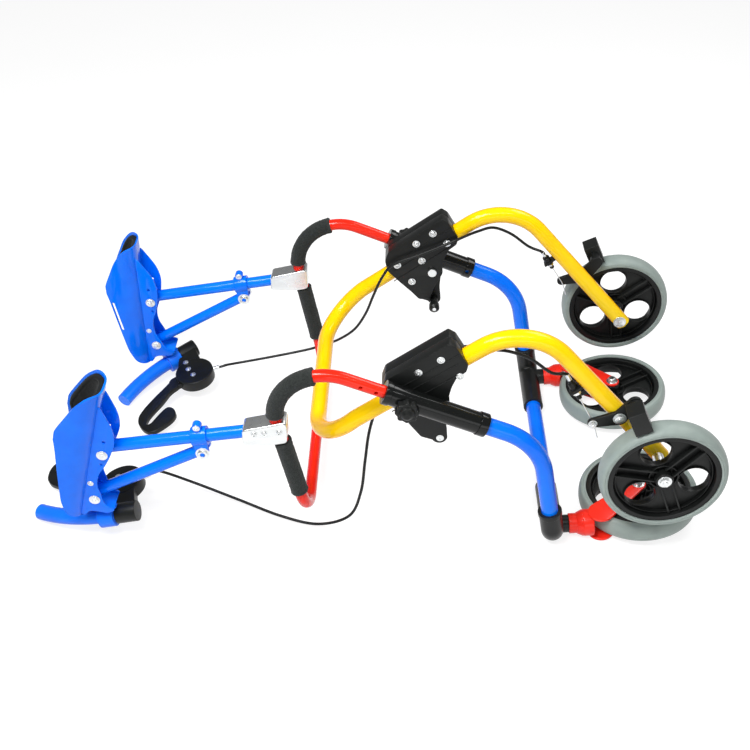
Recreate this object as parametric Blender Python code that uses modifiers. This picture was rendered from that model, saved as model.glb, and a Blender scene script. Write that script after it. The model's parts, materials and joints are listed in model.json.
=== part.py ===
"""Forearm walking frame, folded and lying down as it is stored.

Metres, +Z up. X runs from the arm supports (-X) to the wheels (+X), Y from the user's left
side (-Y) to the right side (+Y). The origin is the bottom centre of the whole object.

Every piece is drawn at the folded rest pose. Pieces that move hang on an empty that stands on
their joint's axis.
"""

import math

import bmesh
import bpy
from mathutils import Matrix, Quaternion, Vector

# Where the bottom centre lies from the point that the drawing sizes start at
ORIGIN_SHIFT = 0.0451
ORIGIN_DROP = 0.0012

# Tubes, as outer and inner radii
FRAME_TUBE = 0.014
FRAME_BORE = 0.0122
BAR_TUBE = 0.010
BAR_BORE = 0.0083
POST_TUBE = 0.0105
POST_BORE = 0.0088
STRUT_TUBE = 0.00975
STRUT_BORE = 0.008

# Gaps
SEAT_GAP = 0.0003
RUN_GAP = 0.0003
TUBE_SIDES = 12
BORE_SIDES = 8
BEND_STEP = math.radians(19)

# Sleeves: the straight black tubes that join the front legs and the handlebar
SLEEVE_Y = 0.230
SLEEVE_RADIUS = 0.0175
SLEEVE_LENGTH = 0.169
SLEEVE_START_X = -0.0144
SLEEVE_START_Z = 0.316
SLEEVE_SLOPE = math.radians(21.8)
COLLAR_RADIUS = 0.019
COLLAR_START_LENGTH = 0.010
COLLAR_END_LENGTH = 0.014
LEG_INSERTION = 0.040

# Front legs, elbows and the front cross tube
LEG_CORNER_X = 0.2295
LEG_BEND_RADIUS = 0.110
CROSS_X = 0.2685
CROSS_Z = 0.0188
ELBOW_RADIUS = 0.0185
FOOT_Z = 0.0012
ELBOW_BEND = 0.0225
ELBOW_RIM_RADIUS = 0.01975
ELBOW_RIM_LENGTH = 0.008
ELBOW_HEIGHT = 0.0577
ELBOW_REACH_Y = 0.112
CROSS_END_Y = 0.1948
LEG_END_HEIGHT = 0.014

# Handlebar, from the sleeves over the bends and down to its cross tube
BAR_INSERTION = 0.125
BAR_TOP_X = -0.2095
BAR_TOP_BEND = 0.080
BAR_LOW_X = -0.139
BAR_LOW_Y = 0.218
BAR_LOW_Z = 0.045
BAR_LOW_BEND = 0.055
HEIGHT_PITCH = 0.025
HEIGHT_HOLES = range(-3, 4)
HEIGHT_HOLE_RADIUS = 0.003
FOAM_RADIUS = 0.014
BEND_FOAM = (0.110, 0.2195)
RUN_FOAM = (0.270, 0.3845)

# Height knobs
KNOB_ALONG = 0.0376
KNOB_RADIUS = 0.0172
KNOB_FLUTE = 0.0012
KNOB_FLUTES = 8
KNOB_THICKNESS = 0.014
KNOB_DOME_RADIUS = 0.011
KNOB_DOME_HEIGHT = 0.008
KNOB_STUD = 0.0032
KNOB_BOSS_RADIUS = 0.0085
KNOB_BOSS_HEIGHT = 0.003

# Rear frame tube
REAR_Y = 0.190
REAR_APEX_X = 0.2004
REAR_APEX_Z = 0.4216
REAR_APEX_BEND = 0.094
REAR_KINK_X = -0.060
REAR_SLOPE = math.radians(36.28)
REAR_KINK_BEND = 0.060
REAR_CROSS_X = -0.1255
REAR_CROSS_Z = 0.169
REAR_CROSS_BEND = 0.084
REAR_END_OVERRUN = 0.014

# Fold joint: pivots on the sleeves, moulded brackets on the rear frame
PIVOT_ALONG = 0.088
PIVOT_PIN = 0.005
PIVOT_HEAD = 0.008
BRACKET_OUTER_Y = 0.2105
BRACKET_INNER_Y = 0.168
BRACKET_BOLT = 0.005
BRACKET_BOLT_HEIGHT = 0.003
BRACKET_LOBE_RADIUS = 0.019
PLUNGER_RADIUS_FROM_PIVOT = 0.0713
FOLD_ANGLE = math.radians(63.5)
PLUNGER_PIN = 0.0032
PLUNGER_TRAVEL = 0.008
PLUNGER_LOBE_RADIUS = 0.0125
PLUNGER_BARREL = 0.0075
PLUNGER_BARREL_Y = 0.172
PLUNGER_KNOB = 0.0095
PLUNGER_KNOB_Y = 0.152

# Wheels, the same at the back and on the casters
WHEEL_RADIUS = 0.100
TYRE_HALF_WIDTH = 0.018
TYRE_CROWN = 0.005
TYRE_DEPTH = 0.0128
RIM_RADIUS = WHEEL_RADIUS - TYRE_DEPTH
RIM_HALF_WIDTH = 0.0155
RIM_DEPTH = 0.0117
RIM_RING = RIM_RADIUS - RIM_DEPTH
WEB_HALF = 0.003
HUB_RADIUS = 0.014
HUB_HALF = 0.0187
AXLE = 0.005
WHEEL_HOLE_RADIUS = 0.0243
WHEEL_HOLE_AT = 0.0492
RIB_OFFSET = 0.009
RIB_THICKNESS = 0.003
RIB_HALF = 0.0115
WHEEL_STEPS = 24

# Rear wheels
REAR_WHEEL_X = 0.4225
REAR_WHEEL_Y = 0.245
REAR_WHEEL_Z = 0.173
AXLE_HEAD = 0.009
AXLE_HEAD_HEIGHT = 0.0045
AXLE_NUT = 0.0085
AXLE_NUT_HEIGHT = 0.006

# Brake arms with their shoes
BRAKE_PIVOT_FROM_AXLE = 0.109
BRAKE_ARM_THICKNESS = 0.006
BRAKE_ARM_Y = 0.2045
BRAKE_CLAMP = (-0.040, -0.011)
BRAKE_SHOE_GAP = 0.0025
BRAKE_SHOE_LENGTH = 0.040
BRAKE_SHOE_WIDTH = 0.027
BRAKE_SHOE_ANGLE = math.radians(115.5)
BRAKE_SHOE_HALF_WIDTH = 0.016

# Cable stops
STOP_FROM_AXLE = 0.186
STOP_OFFSET = 0.026
STOP_BARREL = 0.0042
STOP_BARREL_LENGTH = 0.034
STOP_PLATE_THICKNESS = 0.004
STOP_PLATE_WIDTH = 0.016
CABLE_RADIUS = 0.0025
WIRE_RADIUS = 0.0009
WIRE_BORE = 0.0016
CABLE_TAIL = [
    (0.158, -0.004, 0.303),
    (0.158, 0.045, 0.325),
    (0.160, 0.098, 0.349),
    (0.168, 0.122, 0.357),
    (0.180, 0.146, 0.361),
    (0.189, 0.174, 0.364),
    (0.190, 0.207, 0.351),
    (0.190, 0.240, 0.326),
]
LEFT_CABLE = [
    (-0.350, -0.118, 0.022),
    (-0.266, -0.150, 0.012),
    (-0.190, -0.184, 0.008),
    (-0.125, -0.206, 0.012),
    (-0.072, -0.208, 0.034),
    (-0.052, -0.201, 0.082),
    (-0.045, -0.186, 0.138),
    (-0.038, -0.170, 0.190),
    (-0.022, -0.160, 0.248),
]
RIGHT_CABLE = [
    (-0.330, 0.205, 0.040),
    (-0.250, 0.226, 0.044),
    (-0.172, 0.238, 0.056),
    (-0.138, 0.234, 0.072),
    (-0.108, 0.212, 0.100),
    (-0.076, 0.190, 0.140),
    (-0.054, 0.176, 0.186),
    (-0.040, 0.167, 0.230),
    (-0.024, 0.160, 0.274),
]

# Casters
STEM_Y = 0.205
STEM_RISE = math.radians(6.0)
STEM_RADIUS = 0.006
STEM_ROOT = 0.007
STUB_RADIUS = 0.015
STUB_LENGTH = 0.028
CASTER_REACH = 0.1533
CASTER_TRAIL = 0.061
FORK_COLLAR_RADIUS = 0.017
FORK_COLLAR_LENGTH = 0.013
FORK_CROWN_RADIUS = 0.0225
FORK_CROWN_END = 0.070
FORK_ARM_INNER = 0.0195
FORK_ARM_OUTER = 0.0240
FORK_ARM_ROOT_RADIUS = 0.0215
FORK_ARM_ROOT_AT = 0.082
FORK_ARM_END_RADIUS = 0.013
FORK_WHEEL_CLEARANCE = 0.0025
CASTER_AXLE_HEAD = 0.008
CASTER_AXLE_HALF = 0.0325

# Arm supports
SUPPORT_Y = 0.222
CLAMP_INNER_Y = 0.2065
CLAMP_OUTER_Y = 0.2395
CLAMP_SCREW = 0.0045
CLAMP_SCREW_HEIGHT = 0.0025
POST_ROOT_X = -0.201
POST_MOUTH_X = -0.233
POST_MOUTH_Z = 0.2284
SUPPORTS = {
    "left": {"drop": 9.0, "reach": 0.2255, "lean": 15.5, "swing": 0.0, "dip": 27.6},
    "right": {"drop": 9.9, "reach": 0.2345, "lean": 0.4, "swing": 38.0, "dip": 10.5},
}
SLIDER_RADIUS = 0.0155
SLIDER_HALF = 0.0125
SLIDER_EAR_RISE = 0.020
SLIDER_EAR_RADIUS = 0.0075
SLIDER_EAR_HALF = 0.006
SLIDER_BOLT = 0.0028
SLIDER_DROP = 0.026
SLIDER_CHEEK = 0.003
STRUT_SIDE_GAP = 0.0004
STRUT_PIN = 0.0035
STRUT_HEAD = 0.0085
STRUT_LENGTH = 0.2063
STRUT_OVERRUN = 0.0038

# Arm troughs, drawn along the forearm (l), towards the open side (o) and across
TROUGH_REAR = -0.121
TROUGH_FRONT = 0.140
TROUGH_BOLTS = 0.099
TROUGH_HALF = 0.0430
TROUGH_FOLD_HALF = 0.0225
TROUGH_SHEET = 0.003
TROUGH_FLOOR = 0.0175
TROUGH_SECTION = [
    (-0.0430, 0.085),
    (-0.0428, 0.062),
    (-0.0412, 0.050),
    (-0.0375, 0.038),
    (-0.0315, 0.0285),
    (-0.0235, 0.0215),
    (-0.0140, 0.0180),
    (0.0, 0.0175),
    (0.0140, 0.0180),
    (0.0235, 0.0215),
    (0.0315, 0.0285),
    (0.0375, 0.038),
    (0.0412, 0.050),
    (0.0428, 0.062),
    (0.0430, 0.085),
]
TROUGH_OUTLINE = [
    (-0.121, 0.005),
    (-0.121, 0.034),
    (-0.100, 0.052),
    (-0.052, 0.0735),
    (-0.040, 0.0755),
    (-0.020, 0.0705),
    (0.098, 0.0500),
    (0.128, 0.0385),
    (0.140, 0.0220),
    (0.140, 0.005),
]
PAD_OUTLINE = [
    (-0.117, 0.005),
    (-0.117, 0.032),
    (-0.098, 0.0485),
    (-0.052, 0.0695),
    (-0.040, 0.0715),
    (-0.021, 0.0629),
    (0.096, 0.0424),
    (0.120, 0.0350),
    (0.128, 0.0250),
    (0.128, 0.005),
]
STRAP_SLOT_AT = (0.018, 0.0590)
STRAP_SLOT_SLANT = -0.172
STRAP_SLOT_LENGTH = 0.060
STRAP_SLOT_HALF = 0.0022
TROUGH_PIN = 0.004
TROUGH_HEAD = 0.007
PAD_THICKNESS = 0.008

# Hand grips, on a swivel under the front end of the trough
GRIP_FACE = 0.1245
GRIP_ALONG = 0.150
GRIP_OPEN = -0.024
GRIP_PIN = 0.005
GRIP_KNUCKLE = 0.011
GRIP_RADIUS = 0.0135
GRIP_LENGTH = 0.135
GRIP_BEND = math.radians(28)
CUFF_RADIUS = 0.0205
CUFF_HALF = 0.013
HOUSING_CLAMP_RADIUS = 0.0172
HOUSING_CLAMP_START = 0.0155
HOUSING_CLAMP_LENGTH = 0.036
GRIP_SPIGOT = 0.008
GRIP_SPIGOT_END = 0.045
HOUSING_DISC_RADIUS = 0.037
HOUSING_DISC_HALF = 0.0115
HOUSING_DISC_T = -0.010
HOUSING_DISC_N = 0.072
LEVER_HALF = 0.005
LEVER_SLOT_HALF = 0.0058
LEVER_PIN = 0.004

SIDES = {"left": -1, "right": 1}


def clear_scene():
    for obj in list(bpy.data.objects):
        bpy.data.objects.remove(obj)


def new_collection(name):
    collection = bpy.data.collections.new(name)
    bpy.context.scene.collection.children.link(collection)
    return collection


def new_material(name, colour, roughness, metallic=0.0):
    material = bpy.data.materials.new(name)
    material.use_nodes = True
    shader = material.node_tree.nodes["Principled BSDF"]
    shader.inputs["Base Color"].default_value = (*colour, 1.0)
    shader.inputs["Roughness"].default_value = roughness
    shader.inputs["Metallic"].default_value = metallic
    return material


clear_scene()
PARTS = new_collection("forearm_walking_frame")
BLUE = new_material("blue_paint", (0.0, 0.14, 0.85), 0.25)
YELLOW = new_material("yellow_paint", (1.0, 0.55, 0.0), 0.25)
RED = new_material("red_paint", (0.80, 0.02, 0.01), 0.25)
BLACK_GLOSS = new_material("black_gloss", (0.015, 0.016, 0.018), 0.2)
BLACK_PLASTIC = new_material("black_plastic", (0.02, 0.021, 0.022), 0.45)
RED_PLASTIC = new_material("red_plastic", (0.70, 0.02, 0.015), 0.35)
STEEL = new_material("zinc_steel", (0.72, 0.72, 0.73), 0.3, 1.0)
RUBBER = new_material("grey_rubber", (0.20, 0.22, 0.22), 0.75)
FOAM = new_material("black_foam", (0.03, 0.033, 0.033), 0.85)


def flat_clear(radius, sides=TUBE_SIDES):
    """The corner radius of a round hole whose flats clear a shaft of this radius."""
    return (radius + RUN_GAP) / math.cos(math.pi / sides)


def finish(obj, material, crease=math.radians(35)):
    """Gives a piece its material and its smooth round sides."""
    obj.data.materials.clear()
    obj.data.materials.append(material)
    obj.data.shade_smooth()
    obj.data.set_sharp_from_angle(angle=crease)
    return obj


def add_object(name, mesh, matrix=None):
    obj = bpy.data.objects.new(name, mesh)
    PARTS.objects.link(obj)
    if matrix is not None:
        obj.matrix_world = matrix
    return obj


def from_bmesh(name, shape, matrix=None):
    bmesh.ops.recalc_face_normals(shape, faces=shape.faces)
    mesh = bpy.data.meshes.new(name)
    shape.to_mesh(mesh)
    shape.free()
    return add_object(name, mesh, matrix)


def baked(obj):
    """Replaces a curve or an object with modifiers by the plain mesh that it shows."""
    bpy.context.view_layer.update()
    evaluated = obj.evaluated_get(bpy.context.evaluated_depsgraph_get())
    mesh = bpy.data.meshes.new_from_object(evaluated)
    shape = bmesh.new()
    shape.from_mesh(mesh)
    bmesh.ops.remove_doubles(shape, verts=shape.verts, dist=0.00001)
    shape.to_mesh(mesh)
    shape.free()
    name = obj.name
    matrix = obj.matrix_world.copy()
    bpy.data.objects.remove(obj)
    return add_object(name, mesh, matrix)


def combine(operation, base, tools):
    """Joins the tools to the base or cuts them from it, and removes them."""
    for tool in tools:
        modifier = base.modifiers.new(tool.name, "BOOLEAN")
        modifier.operation = operation
        modifier.object = tool
    name = base.name
    result = baked(base)
    result.name = name
    for tool in tools:
        bpy.data.objects.remove(tool)
    return result


def join(base, *tools):
    return combine("UNION", base, tools)


def cut(base, *tools):
    return combine("DIFFERENCE", base, tools)


def facing(direction, origin):
    """A matrix at origin with +Z along direction."""
    return Matrix.Translation(origin) @ direction.to_track_quat("Z", "Y").to_matrix().to_4x4()


def rod(name, start, end, radius, sides=TUBE_SIDES, end_radius=None):
    """A cylinder or cone between two points."""
    shape = bmesh.new()
    length = (end - start).length
    far_radius = radius if end_radius is None else end_radius
    bmesh.ops.create_cone(
        shape,
        cap_ends=True,
        segments=sides,
        radius1=radius,
        radius2=far_radius,
        depth=length,
    )
    return from_bmesh(name, shape, facing(end - start, (start + end) / 2))


def brick(name, size, matrix):
    """A box of this size, centred on the matrix."""
    shape = bmesh.new()
    bmesh.ops.create_cube(shape, size=1.0)
    bmesh.ops.scale(shape, vec=Vector(size), verts=shape.verts)
    return from_bmesh(name, shape, matrix)


def pipe(name, points, radius, sides=TUBE_SIDES):
    """A round tube along points, with closed ends."""
    curve = bpy.data.curves.new(name, "CURVE")
    curve.dimensions = "3D"
    curve.bevel_depth = radius
    curve.bevel_resolution = sides // 2 - 2
    curve.use_fill_caps = True
    spline = curve.splines.new("POLY")
    spline.points.add(len(points) - 1)
    for point, place in zip(spline.points, points):
        point.co = (*place, 1.0)
    return baked(add_object(name, curve))


def slab(name, outline, thickness, matrix):
    """A flat plate of this outline, centred on the matrix's XY plane."""
    curve = bpy.data.curves.new(name, "CURVE")
    curve.dimensions = "2D"
    curve.fill_mode = "BOTH"
    curve.extrude = thickness / 2
    spline = curve.splines.new("POLY")
    spline.points.add(len(outline) - 1)
    spline.use_cyclic_u = True
    for point, place in zip(spline.points, outline):
        point.co = (place[0], place[1], 0.0, 1.0)
    return baked(add_object(name, curve, matrix))


def upright(outline_y, side):
    """The matrix of a plate that lies in an XZ plane at this distance from the middle."""
    return Matrix(((1, 0, 0, 0), (0, 0, -1, side * outline_y), (0, 1, 0, 0), (0, 0, 0, 1)))


def turned(name, profile, matrix, steps=WHEEL_STEPS):
    """A solid turned about Z from (radius, height) points; a profile off the axis closes on itself."""
    mesh = bpy.data.meshes.new(name)
    points = [(radius, 0.0, height) for radius, height in profile]
    edges = [(i, i + 1) for i in range(len(points) - 1)]
    if profile[0][0] > 0:
        edges.append((len(points) - 1, 0))
    mesh.from_pydata(points, edges, [])
    obj = add_object(name, mesh, matrix)
    screw = obj.modifiers.new("Turn", "SCREW")
    screw.steps = steps
    screw.render_steps = steps
    screw.use_merge_vertices = True
    screw.merge_threshold = 0.00001
    result = baked(obj)
    shape = bmesh.new()
    shape.from_mesh(result.data)
    bmesh.ops.recalc_face_normals(shape, faces=shape.faces)
    shape.to_mesh(result.data)
    shape.free()
    return result


def round_ended(name, start, end, radius):
    """A rod with a domed far end."""
    length = (end - start).length
    dome = arc((0.0, length), radius, 0, 90, 3)[:-1]
    profile = [(0.0, 0.0), (radius, 0.0), *dome, (0.0, length + radius)]
    return turned(name, profile, facing(end - start, start), TUBE_SIDES)


def arc(centre, radius, start, end, steps):
    """Points of an arc in a plane, with its angles in degrees."""
    points = []
    for i in range(steps + 1):
        angle = math.radians(start + (end - start) * i / steps)
        points.append((centre[0] + radius * math.cos(angle), centre[1] + radius * math.sin(angle)))
    return points


def link_outline(first, first_radius, second, second_radius, steps=6):
    """The outline of two round ends and the straight sides that touch both."""
    along = Vector(second) - Vector(first)
    heading = math.degrees(math.atan2(along.y, along.x))
    lean = math.degrees(math.acos((first_radius - second_radius) / along.length))
    return arc(first, first_radius, heading + lean, heading + 360 - lean, 2 * steps) + arc(
        second, second_radius, heading - lean, heading + lean, steps
    )


def rounded(points, radii):
    """A line of points whose inner corners are bends of these radii."""
    line = [points[0]]
    for before, corner, after, radius in zip(points, points[1:], points[2:], radii):
        back = (before - corner).normalized()
        ahead = (after - corner).normalized()
        turn = math.pi - back.angle(ahead)
        start = corner + back * radius * math.tan(turn / 2)
        centre = corner + (back + ahead).normalized() * radius / math.cos(turn / 2)
        spoke = start - centre
        axis = spoke.cross(-back)
        steps = max(2, math.ceil(turn / BEND_STEP))
        for i in range(steps + 1):
            line.append(centre + Quaternion(axis, turn * i / steps) @ spoke)
    line.append(points[-1])
    return line


def stretch(line, start, end):
    """The part of a line of points between two distances along it."""
    part = []
    walked = 0.0
    for a, b in zip(line, line[1:]):
        length = (b - a).length
        if start < walked < end:
            part.append(a)
        if walked <= start < walked + length:
            part.append(a.lerp(b, (start - walked) / length))
        if walked < end <= walked + length:
            part.append(a.lerp(b, (end - walked) / length))
        walked += length
    return part


def lengthened(line, extra):
    """The same line with both ends drawn out straight."""
    first = line[0] + (line[0] - line[1]).normalized() * extra
    last = line[-1] + (line[-1] - line[-2]).normalized() * extra
    return [first, *line[1:-1], last]


def joint_empty(name, place, direction):
    empty = bpy.data.objects.new(name, None)
    PARTS.objects.link(empty)
    empty.matrix_world = facing(direction, place)
    empty.empty_display_size = 0.02
    return empty


def hang(parent, *children):
    """Parents the children where they stand."""
    bpy.context.view_layer.update()
    for child in children:
        place = child.matrix_world.copy()
        child.parent = parent
        child.matrix_world = place


def across(side, distance, x, z):
    """A point at this distance from the middle, on one side."""
    return Vector((x, side * distance, z))


def sleeve_along(side, distance, off_centre=SLEEVE_Y):
    """A point on the sleeve's axis, at a distance from its upper end."""
    x = SLEEVE_START_X + distance * math.cos(SLEEVE_SLOPE)
    z = SLEEVE_START_Z - distance * math.sin(SLEEVE_SLOPE)
    return across(side, off_centre, x, z)


def rear_line_height(x):
    """The height of the straight stretch of the rear frame that the brackets hold."""
    return REAR_APEX_Z - (REAR_APEX_X - x) * math.tan(REAR_SLOPE)


def plunger_place():
    """Where the fold lock's plunger stands, so that it meets the sleeve when unfolded."""
    angle = -SLEEVE_SLOPE - FOLD_ANGLE
    pivot = sleeve_along(1, PIVOT_ALONG)
    reach = PLUNGER_RADIUS_FROM_PIVOT
    return pivot.x + reach * math.cos(angle), pivot.z + reach * math.sin(angle)


def leg_line(side):
    corner_drop = (LEG_CORNER_X - SLEEVE_START_X) * math.tan(SLEEVE_SLOPE)
    corner = across(side, SLEEVE_Y, LEG_CORNER_X, SLEEVE_START_Z - corner_drop)
    elbow = across(side, SLEEVE_Y, CROSS_X, CROSS_Z)
    up = (corner - elbow).normalized()
    foot = elbow + up * LEG_END_HEIGHT
    top = sleeve_along(side, SLEEVE_LENGTH - LEG_INSERTION)
    return rounded([top, corner, foot], [LEG_BEND_RADIUS]), up


def make_sleeve(name, side):
    """The sleeve with its end collars, knob boss and the pin that the rear frame folds on."""
    start = sleeve_along(side, 0)
    end = sleeve_along(side, SLEEVE_LENGTH)
    near_collar = sleeve_along(side, COLLAR_START_LENGTH)
    far_collar = sleeve_along(side, SLEEVE_LENGTH - COLLAR_END_LENGTH)
    knob_face = SLEEVE_Y + SLEEVE_RADIUS + KNOB_BOSS_HEIGHT
    pin_tip = BRACKET_INNER_Y - 0.0035
    body = rod(name, start, end, SLEEVE_RADIUS)
    join_parts = [
        rod("near_collar", start - (end - start) * 0.0005, near_collar, COLLAR_RADIUS),
        rod("far_collar", far_collar, end + (end - start) * 0.0005, COLLAR_RADIUS),
        rod(
            "knob_boss",
            sleeve_along(side, KNOB_ALONG, SLEEVE_Y + 0.008),
            sleeve_along(side, KNOB_ALONG, knob_face),
            KNOB_BOSS_RADIUS,
        ),
        rod(
            "pivot_pin",
            sleeve_along(side, PIVOT_ALONG, SLEEVE_Y - 0.008),
            sleeve_along(side, PIVOT_ALONG, pin_tip),
            PIVOT_PIN,
            12,
        ),
        rod(
            "pivot_head",
            sleeve_along(side, PIVOT_ALONG, BRACKET_INNER_Y - SEAT_GAP),
            sleeve_along(side, PIVOT_ALONG, pin_tip - 0.002),
            PIVOT_HEAD,
            12,
        ),
    ]
    body = join(body, *join_parts)
    lock_along = PIVOT_ALONG + PLUNGER_RADIUS_FROM_PIVOT
    leg_top = SLEEVE_LENGTH - LEG_INSERTION - 0.001
    return cut(
        body,
        rod(
            "bar_bore",
            sleeve_along(side, -0.003),
            sleeve_along(side, leg_top + 0.004),
            flat_clear(BAR_TUBE),
        ),
        rod(
            "leg_bore",
            sleeve_along(side, leg_top),
            sleeve_along(side, SLEEVE_LENGTH + 0.003),
            flat_clear(FRAME_TUBE),
        ),
        rod(
            "knob_hole",
            sleeve_along(side, KNOB_ALONG, SLEEVE_Y + 0.006),
            sleeve_along(side, KNOB_ALONG, knob_face + 0.002),
            flat_clear(KNOB_STUD, 8),
            8,
        ),
        rod(
            "lock_hole",
            sleeve_along(side, lock_along, SLEEVE_Y - 0.008),
            sleeve_along(side, lock_along, SLEEVE_Y - COLLAR_RADIUS - 0.002),
            flat_clear(PLUNGER_PIN, 8),
            8,
        ),
    )


def make_knob(name, side):
    """A fluted clamping knob with a domed cap and its stud."""
    face = SLEEVE_Y + SLEEVE_RADIUS + KNOB_BOSS_HEIGHT + SEAT_GAP
    outline = []
    for i in range(4 * KNOB_FLUTES):
        angle = math.tau * i / (4 * KNOB_FLUTES)
        radius = KNOB_RADIUS + KNOB_FLUTE * math.cos(KNOB_FLUTES * angle)
        outline.append((radius * math.cos(angle), radius * math.sin(angle)))
    out = Vector((0, side, 0))
    start = sleeve_along(side, KNOB_ALONG, face)
    top = start + out * KNOB_THICKNESS
    grip = slab(name, outline, KNOB_THICKNESS, facing(out, (start + top) / 2))
    rim = top + out * KNOB_DOME_HEIGHT * 0.55
    crown = top + out * KNOB_DOME_HEIGHT
    return join(
        grip,
        rod("dome", top - out * 0.002, rim, KNOB_DOME_RADIUS + 0.002, 16, KNOB_DOME_RADIUS),
        rod("cap", rim - out * 0.001, crown, KNOB_DOME_RADIUS, 16, KNOB_DOME_RADIUS * 0.45),
        rod(
            "stud",
            start + out * 0.002,
            sleeve_along(side, KNOB_ALONG, SLEEVE_Y + BAR_TUBE + 0.0012),
            KNOB_STUD,
            8,
        ),
    )


def make_leg(name, side):
    line, _ = leg_line(side)
    return cut(
        pipe(name, line, FRAME_TUBE), pipe("leg_hollow", lengthened(line, 0.002), FRAME_BORE, BORE_SIDES)
    )


def stem_direction():
    return Vector((math.cos(STEM_RISE), 0, math.sin(STEM_RISE)))


def stem_origin(side):
    return across(side, STEM_Y, CROSS_X, CROSS_Z)


def make_elbow(name, side):
    """A moulded corner that holds the leg, the cross tube and the caster's stem."""
    line, up = leg_line(side)
    centre = across(side, SLEEVE_Y, CROSS_X, CROSS_Z)
    mouth = across(side, ELBOW_REACH_Y, CROSS_X, CROSS_Z)
    top = centre + up * ELBOW_HEIGHT
    stem = stem_direction()
    origin = stem_origin(side)
    body = join(
        pipe(name, rounded([top, centre, mouth], [ELBOW_BEND]), ELBOW_RADIUS),
        rod("rim", top - up * ELBOW_RIM_LENGTH, top + up * 0.0004, ELBOW_RIM_RADIUS, 20),
        rod("stub", origin, origin + stem * STUB_LENGTH, STUB_RADIUS, 20),
    )
    inward = Vector((0, -side, 0))
    foot = Matrix.Translation(across(side, SLEEVE_Y, CROSS_X, FOOT_Z - 0.01))
    return cut(
        body,
        brick("foot_room", (0.08, 0.4, 0.02), foot),
        rod(
            "leg_socket",
            centre + up * (LEG_END_HEIGHT - SEAT_GAP),
            top + up * 0.003,
            flat_clear(FRAME_TUBE),
        ),
        rod(
            "cross_bore",
            across(side, CROSS_END_Y + SEAT_GAP, CROSS_X, CROSS_Z),
            mouth + inward * 0.003,
            flat_clear(FRAME_TUBE),
        ),
        rod(
            "stem_bore",
            origin - stem * (STEM_ROOT + SEAT_GAP),
            origin + stem * (STUB_LENGTH + 0.003),
            flat_clear(STEM_RADIUS, 12),
            12,
        ),
    )


def make_cross_tube():
    ends = [across(side, CROSS_END_Y, CROSS_X, CROSS_Z) for side in (-1, 1)]
    beyond = [across(side, CROSS_END_Y + 0.003, CROSS_X, CROSS_Z) for side in (-1, 1)]
    return cut(
        rod("front_cross_tube", *ends, FRAME_TUBE), rod("hollow", *beyond, FRAME_BORE, BORE_SIDES)
    )


def bar_line():
    """The handlebar from inside the left sleeve round to inside the right one."""
    drop = (SLEEVE_START_X - BAR_TOP_X) * math.tan(SLEEVE_SLOPE)
    halves = {}
    for side in (-1, 1):
        halves[side] = [
            sleeve_along(side, BAR_INSERTION),
            across(side, SLEEVE_Y, BAR_TOP_X, SLEEVE_START_Z + drop),
            across(side, BAR_LOW_Y, BAR_LOW_X, BAR_LOW_Z),
        ]
    corners = halves[-1] + halves[1][::-1]
    return rounded(corners, [BAR_TOP_BEND, BAR_LOW_BEND, BAR_LOW_BEND, BAR_TOP_BEND])


def make_handlebar():
    line = bar_line()
    tube = pipe("handlebar_tube", line, BAR_TUBE)
    hollow = pipe("bar_hollow", lengthened(line, 0.002), BAR_BORE, BORE_SIDES)
    holes = []
    for side in (-1, 1):
        for step in HEIGHT_HOLES:
            along = KNOB_ALONG + step * HEIGHT_PITCH
            ends = [sleeve_along(side, along, SLEEVE_Y + offset) for offset in (0.0, 0.013)]
            holes.append(rod("height_hole", *ends, HEIGHT_HOLE_RADIUS, 6))
    return cut(tube, hollow, *holes)


def make_foam(name, side, span):
    """A foam tube over one stretch of the handlebar, measured from the sleeve's mouth."""
    line = bar_line()
    if side > 0:
        line = line[::-1]
    start = BAR_INSERTION + span[0]
    end = BAR_INSERTION + span[1]
    skin = pipe(name, stretch(line, start, end), FOAM_RADIUS)
    core = pipe("core", stretch(line, start - 0.004, end + 0.004), flat_clear(BAR_TUBE))
    return cut(skin, core)


def run_stretch(side):
    """The stretch of the handlebar that its arm clamp holds."""
    line = bar_line()
    if side > 0:
        line = line[::-1]
    return stretch(line, BAR_INSERTION + BEND_FOAM[1] + 0.001, BAR_INSERTION + RUN_FOAM[0] + 0.020)


def make_rear_frame():
    """One bent tube: up from the left axle, over, down to the cross tube and back."""
    kink_z = rear_line_height(REAR_KINK_X)
    apex_to_axle = Vector((REAR_WHEEL_X - REAR_APEX_X, 0, REAR_WHEEL_Z - REAR_APEX_Z))
    overrun = apex_to_axle.normalized() * REAR_END_OVERRUN
    halves = {}
    for side in (-1, 1):
        halves[side] = [
            across(side, REAR_Y, REAR_WHEEL_X, REAR_WHEEL_Z) + overrun,
            across(side, REAR_Y, REAR_APEX_X, REAR_APEX_Z),
            across(side, REAR_Y, REAR_KINK_X, kink_z),
            across(side, REAR_Y, REAR_CROSS_X, REAR_CROSS_Z),
        ]
    radii = [REAR_APEX_BEND, REAR_KINK_BEND, REAR_CROSS_BEND]
    line = rounded(halves[-1] + halves[1][::-1], radii + radii[::-1])
    axle_holes = []
    for side in (-1, 1):
        ends = [across(side, REAR_Y + offset, REAR_WHEEL_X, REAR_WHEEL_Z) for offset in (-0.018, 0.018)]
        axle_holes.append(rod("axle_hole", *ends, flat_clear(AXLE, 12), 12))
    return cut(
        pipe("rear_frame_tube", line, FRAME_TUBE),
        pipe("rear_hollow", lengthened(line, 0.002), FRAME_BORE, BORE_SIDES),
        *axle_holes,
    )


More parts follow.
